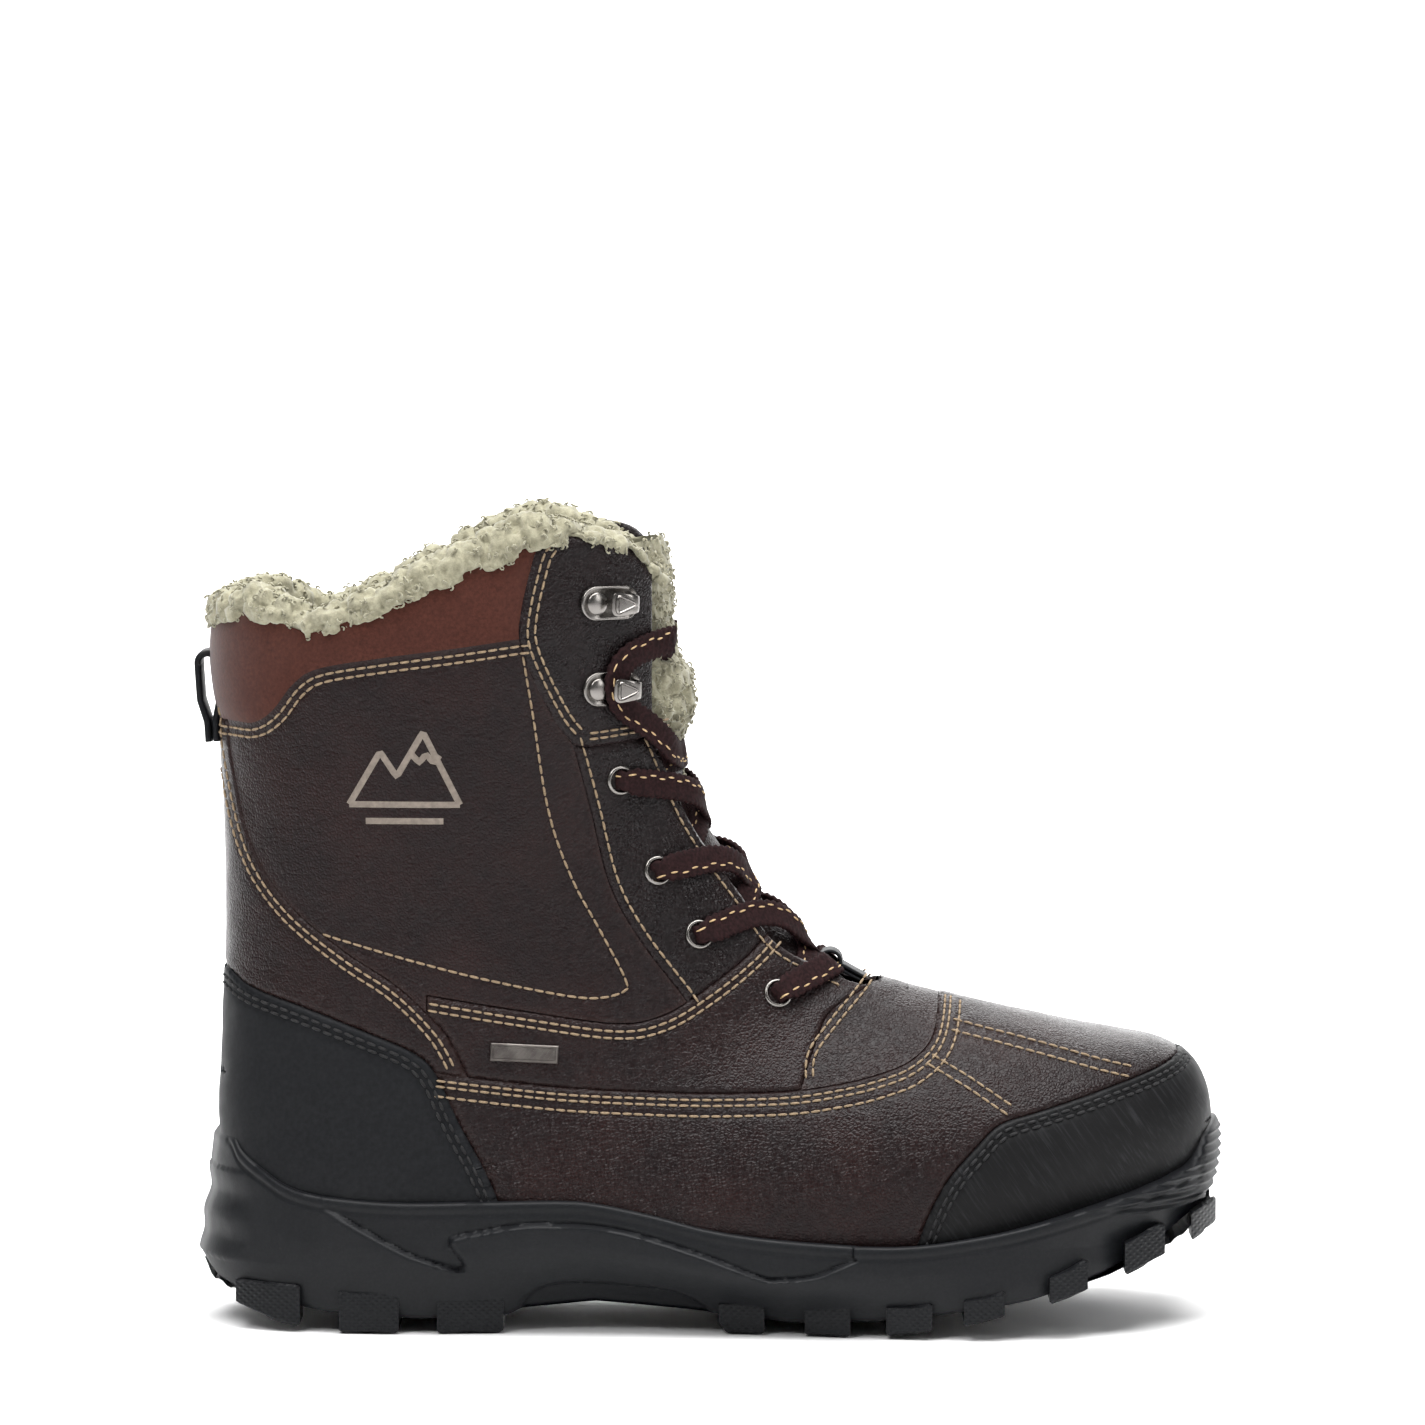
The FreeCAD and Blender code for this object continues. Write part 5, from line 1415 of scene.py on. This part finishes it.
arc = np.linspace(0, math.pi, 11)
BORE = 3.15            # radius of an eyelet's hole
EYELET = [(BORE, -2.5), (BORE, 0.1)]
EYELET += [(BORE + 0.70 * (1 - math.cos(a)), 0.1 + 0.85 * math.sin(a)) for a in arc[1:]]
EYELET += [(4.5, -0.6)]
PLATE_HALF = 5.2       # half the height of a hook's plate


def hook_plate():
    """A rounded plate that narrows towards the claw, dished at its rim."""
    count = 64
    turn = 2 * np.pi * np.arange(count) / count
    c, d = np.cos(turn), np.sin(turn)
    half = PLATE_HALF - 0.55 * np.clip(c, 0, 1)
    x = np.where(c > 0, 5.0, -5.0) + half * c
    y = half * d
    rings = []
    for share, height in ((1.0, -0.8), (1.0, 0.55), (0.97, 0.85), (0.92, 0.95), (0.80, 0.62), (0.4, 0.60),
                          (0.02, 0.60)):
        edge = (1 - share) * PLATE_HALF
        long = x - c * edge if share > 0.5 else x * share * 1.1
        rings.append(np.column_stack([long, y * share, np.full(count, height)]))
    return np.vstack(rings), ring_faces(len(rings), count)


def hook_claw():
    """A bent tongue of metal: up from the front of the plate, then back over it, with a rounded end."""
    path = np.array([(6.6, 0, 0.4), (7.3, 0, 2.0), (7.2, 0, 4.0), (6.2, 0, 5.6), (4.2, 0, 6.3), (1.6, 0, 6.0),
                     (-0.9, 0, 5.2), (-1.9, 0, 4.7)])
    path = smooth(path, 0.5)
    run = np.linspace(0, 1, len(path))
    wide = np.interp(run, [0, 0.3, 0.6, 0.85, 0.95, 1.0], [6.0, 5.0, 6.0, 7.4, 7.0, 4.6])
    lie = np.cross(np.gradient(path, axis=0), [0, 1, 0])
    return tube_grid(path, -lie, wide, 0.95, sides=20, power=4)


def claw_ridge():
    """The raised triangle pressed in the claw's face."""
    corners = np.array([(6.0, 0.0, 6.5), (-0.9, 2.9, 5.95), (-0.9, -2.9, 5.95)])
    loop = []
    for k in range(3):
        a, b, c = corners[k - 1], corners[k], corners[(k + 1) % 3]
        loop += [b + (a - b) * 0.22, b + (a + c - 2 * b) * 0.05, b + (c - b) * 0.22]
    loop = resample(np.vstack([loop, loop[:1]]), 0.5)
    return tube_grid(loop, np.tile([0.0, 0, 1], (len(loop), 1)), 1.15, 1.5, sides=8)


rivet = [(3.45, 0.4), (3.45, 0.95)] + [(3.45 * math.cos(a), 0.95 + 1.0 * math.sin(a)) for a in
                                       np.linspace(0.15, math.pi / 2 - 0.02, 9)]
for word, side in (("lateral", -1), ("medial", 1)):
    for k, (x, z) in enumerate(EYELETS, start=1):
        pose = seat(x, z, side, (3, 0))
        points, faces = lathe(EYELET, 40)
        piece = add_mesh(f"eyelet_ring_{word}_{k}", pose(points), faces, "boot", "nickel", NICKEL)
        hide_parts(f"eyelet_{word}_{k}")
    for k, (x, z) in enumerate(HOOKS, start=1):
        pose = seat(x, z, side, (3.0, 0.0))
        points, faces = join_grids([hook_plate(), hook_claw(), claw_ridge()])
        piece = add_mesh(f"hook_body_{word}_{k}", pose(points), faces, "boot", "nickel", NICKEL)
        sharpen(piece, 50)
        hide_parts(f"hook_{word}_{k}")
        points, faces = lathe(rivet, 32)
        points = pose(points + [-4.9, 0, 0.0])
        piece = add_mesh(f"hook_rivet_{word}_{k}", points, faces, "boot", "nickel", NICKEL)
        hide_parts(f"rivet_{word}_{k}")
        sharpen(piece, 50)

BADGE = (-56.4, 84.6)


def badge():
    """A small plate with a raised rim and slanting bars."""
    wide, high = 20.4 / 2, 5.4 / 2
    outer = [(-wide, -high), (wide, -high), (wide, high), (-wide, high)]
    rings = []
    for inset, height in ((0, -0.8), (0, 0.75), (0.25, 1.0), (0.75, 1.0), (0.9, 0.55), (2.4, 0.55)):
        rings.append([(math.copysign(wide - inset, x), math.copysign(high - inset, y), height)
                      for x, y in outer])
    points = np.vstack(rings)
    faces = ring_faces(len(rings), 4)
    faces.append([20, 21, 22, 23])
    parts = [(points, faces)]
    lean = 0.9
    for k in range(12):
        x = -8.3 + k * 1.5
        bar = [(x - lean, -1.35), (x + 0.62 - lean, -1.35), (x + 0.62 + lean, 1.35), (x + lean, 1.35)]
        low = [(px, py, 0.5) for px, py in bar]
        high_ring = [(px, py, 0.95) for px, py in bar]
        parts.append((np.array(low + high_ring),
                      [[4, 5, 6, 7]] + [[j, (j + 1) % 4, 4 + (j + 1) % 4, 4 + j] for j in range(4)]))
    return join_grids(parts)


pose = seat(*BADGE, -1, (8.0, -0.42))
points, faces = badge()
piece = add_mesh("side_badge", pose(points), faces, "boot", "antique_metal", ANTIQUE, shade=False)
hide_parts("badge")


# ---- printed mark on the quarters: plain hills in outline -------------------------------------
def print_lines(shapes, thick):
    """Flat strips of print along side-view lines, on both sides."""
    parts = []
    for shape in shapes:
        path = resample(np.array(shape, float), 1.2)
        for side in (-1, 1):
            u, s, _on = locate(path[:, 0], path[:, 1])
            spots = [on_panel(side * float(a), float(b), 0.04) for a, b in zip(u, s)]
            line = np.array([p for p, _out in spots])
            ups = np.array([out for _p, out in spots])
            parts.append(tube_grid(line, ups, thick, 0.10, sides=6, power=4))
    return join_grids(parts)


HILLS = [[(-109, 160), (-99.5, 176), (-94.5, 168.5), (-86.5, 182), (-75.5, 160)], [(-109, 160), (-75.5, 160)],
         [(-90.2, 175.5), (-87.6, 172.8), (-85.6, 175.4), (-83.2, 172.6), (-81.6, 175)],
         [(-104, 155), (-80.5, 155)]]
PRINT = Paint("print", roughness=0.6)
PRINT.color(PRINT.blend(PRINT.noise(1.5, 3), 0.3, 0.7, (0.16, 0.13, 0.105), (0.24, 0.20, 0.165)))
add_mesh("quarter_print", *print_lines(HILLS, 1.9), "boot", "leather", PRINT.material, shade=False)

# ---- stage, light and camera ------------------------------------------------------------------
def stage_and_camera():
    """A white sweep, five lamps, an even world and a long lens at the height of the boot's middle."""
    white = Paint("paper", roughness=0.9)
    white.shader.inputs["Base Color"].default_value = (0.93, 0.93, 0.93, 1)
    floor = bpy.data.meshes.new("floor")
    reach, bend = 4.0, 0.8
    profile = [(-3.0, 0.0), (1.2, 0.0)]
    profile += [(1.2 + bend * math.sin(a), bend - bend * math.cos(a))
                for a in np.linspace(0.1, math.pi / 2, 12)]
    profile += [(2.0, 3.5)]
    points = [(x, y, z - 0.0004) for y, z in profile for x in (-reach, reach)]
    faces = [(2 * i, 2 * i + 1, 2 * i + 3, 2 * i + 2) for i in range(len(profile) - 1)]
    floor.from_pydata(points, [], faces)
    floor.shade_smooth()
    floor.materials.append(white.material)
    sweep = add_object("floor", floor)

    def lamp(name, place, aim, size, watts):
        data = bpy.data.lights.new(name, "AREA")
        data.shape = "RECTANGLE"
        data.size, data.size_y = size
        data.energy = watts
        made = add_object(name, data)
        made.location = place
        made.rotation_euler = (Vector(aim) - Vector(place)).to_track_quat("-Z", "Y").to_euler()

    lamp("top", (0.0, -0.2, 1.4), (0, 0, 0.1), (1.5, 1.0), 36)
    lamp("key", (-0.6, -1.1, 1.3), (0, 0, 0.12), (0.6, 0.4), 9.0)
    lamp("fill", (1.3, -0.9, 0.8), (0, 0, 0.12), (0.35, 1.0), 5.0)
    lamp("back", (0.2, 1.2, 1.1), (0, 0, 0.15), (1.2, 0.6), 6)
    lamp("wall", (0.0, 0.7, 1.3), (0, 2.0, 0.5), (2.4, 0.8), 70)
    world = bpy.data.worlds.new("studio")
    world.use_nodes = True
    world.node_tree.nodes["Background"].inputs["Color"].default_value = (1, 1, 1, 1)
    world.node_tree.nodes["Background"].inputs["Strength"].default_value = 0.16
    bpy.context.scene.world = world
    bpy.context.scene.view_settings.view_transform = "Standard"

    view_width, distance, tilt = 0.4275, 2.2, math.radians(4.0)
    aim = Vector((0.0004, -0.045, 0.188))
    data = bpy.data.cameras.new("camera")
    data.sensor_width = 36
    data.lens = 36 * distance / view_width
    data.clip_end = 20
    camera = add_object("camera", data)
    camera.location = aim + Vector((0, -math.cos(tilt), math.sin(tilt))) * distance
    camera.rotation_euler = (math.pi / 2 - tilt, 0, 0)
    bpy.context.scene.camera = camera


stage_and_camera()
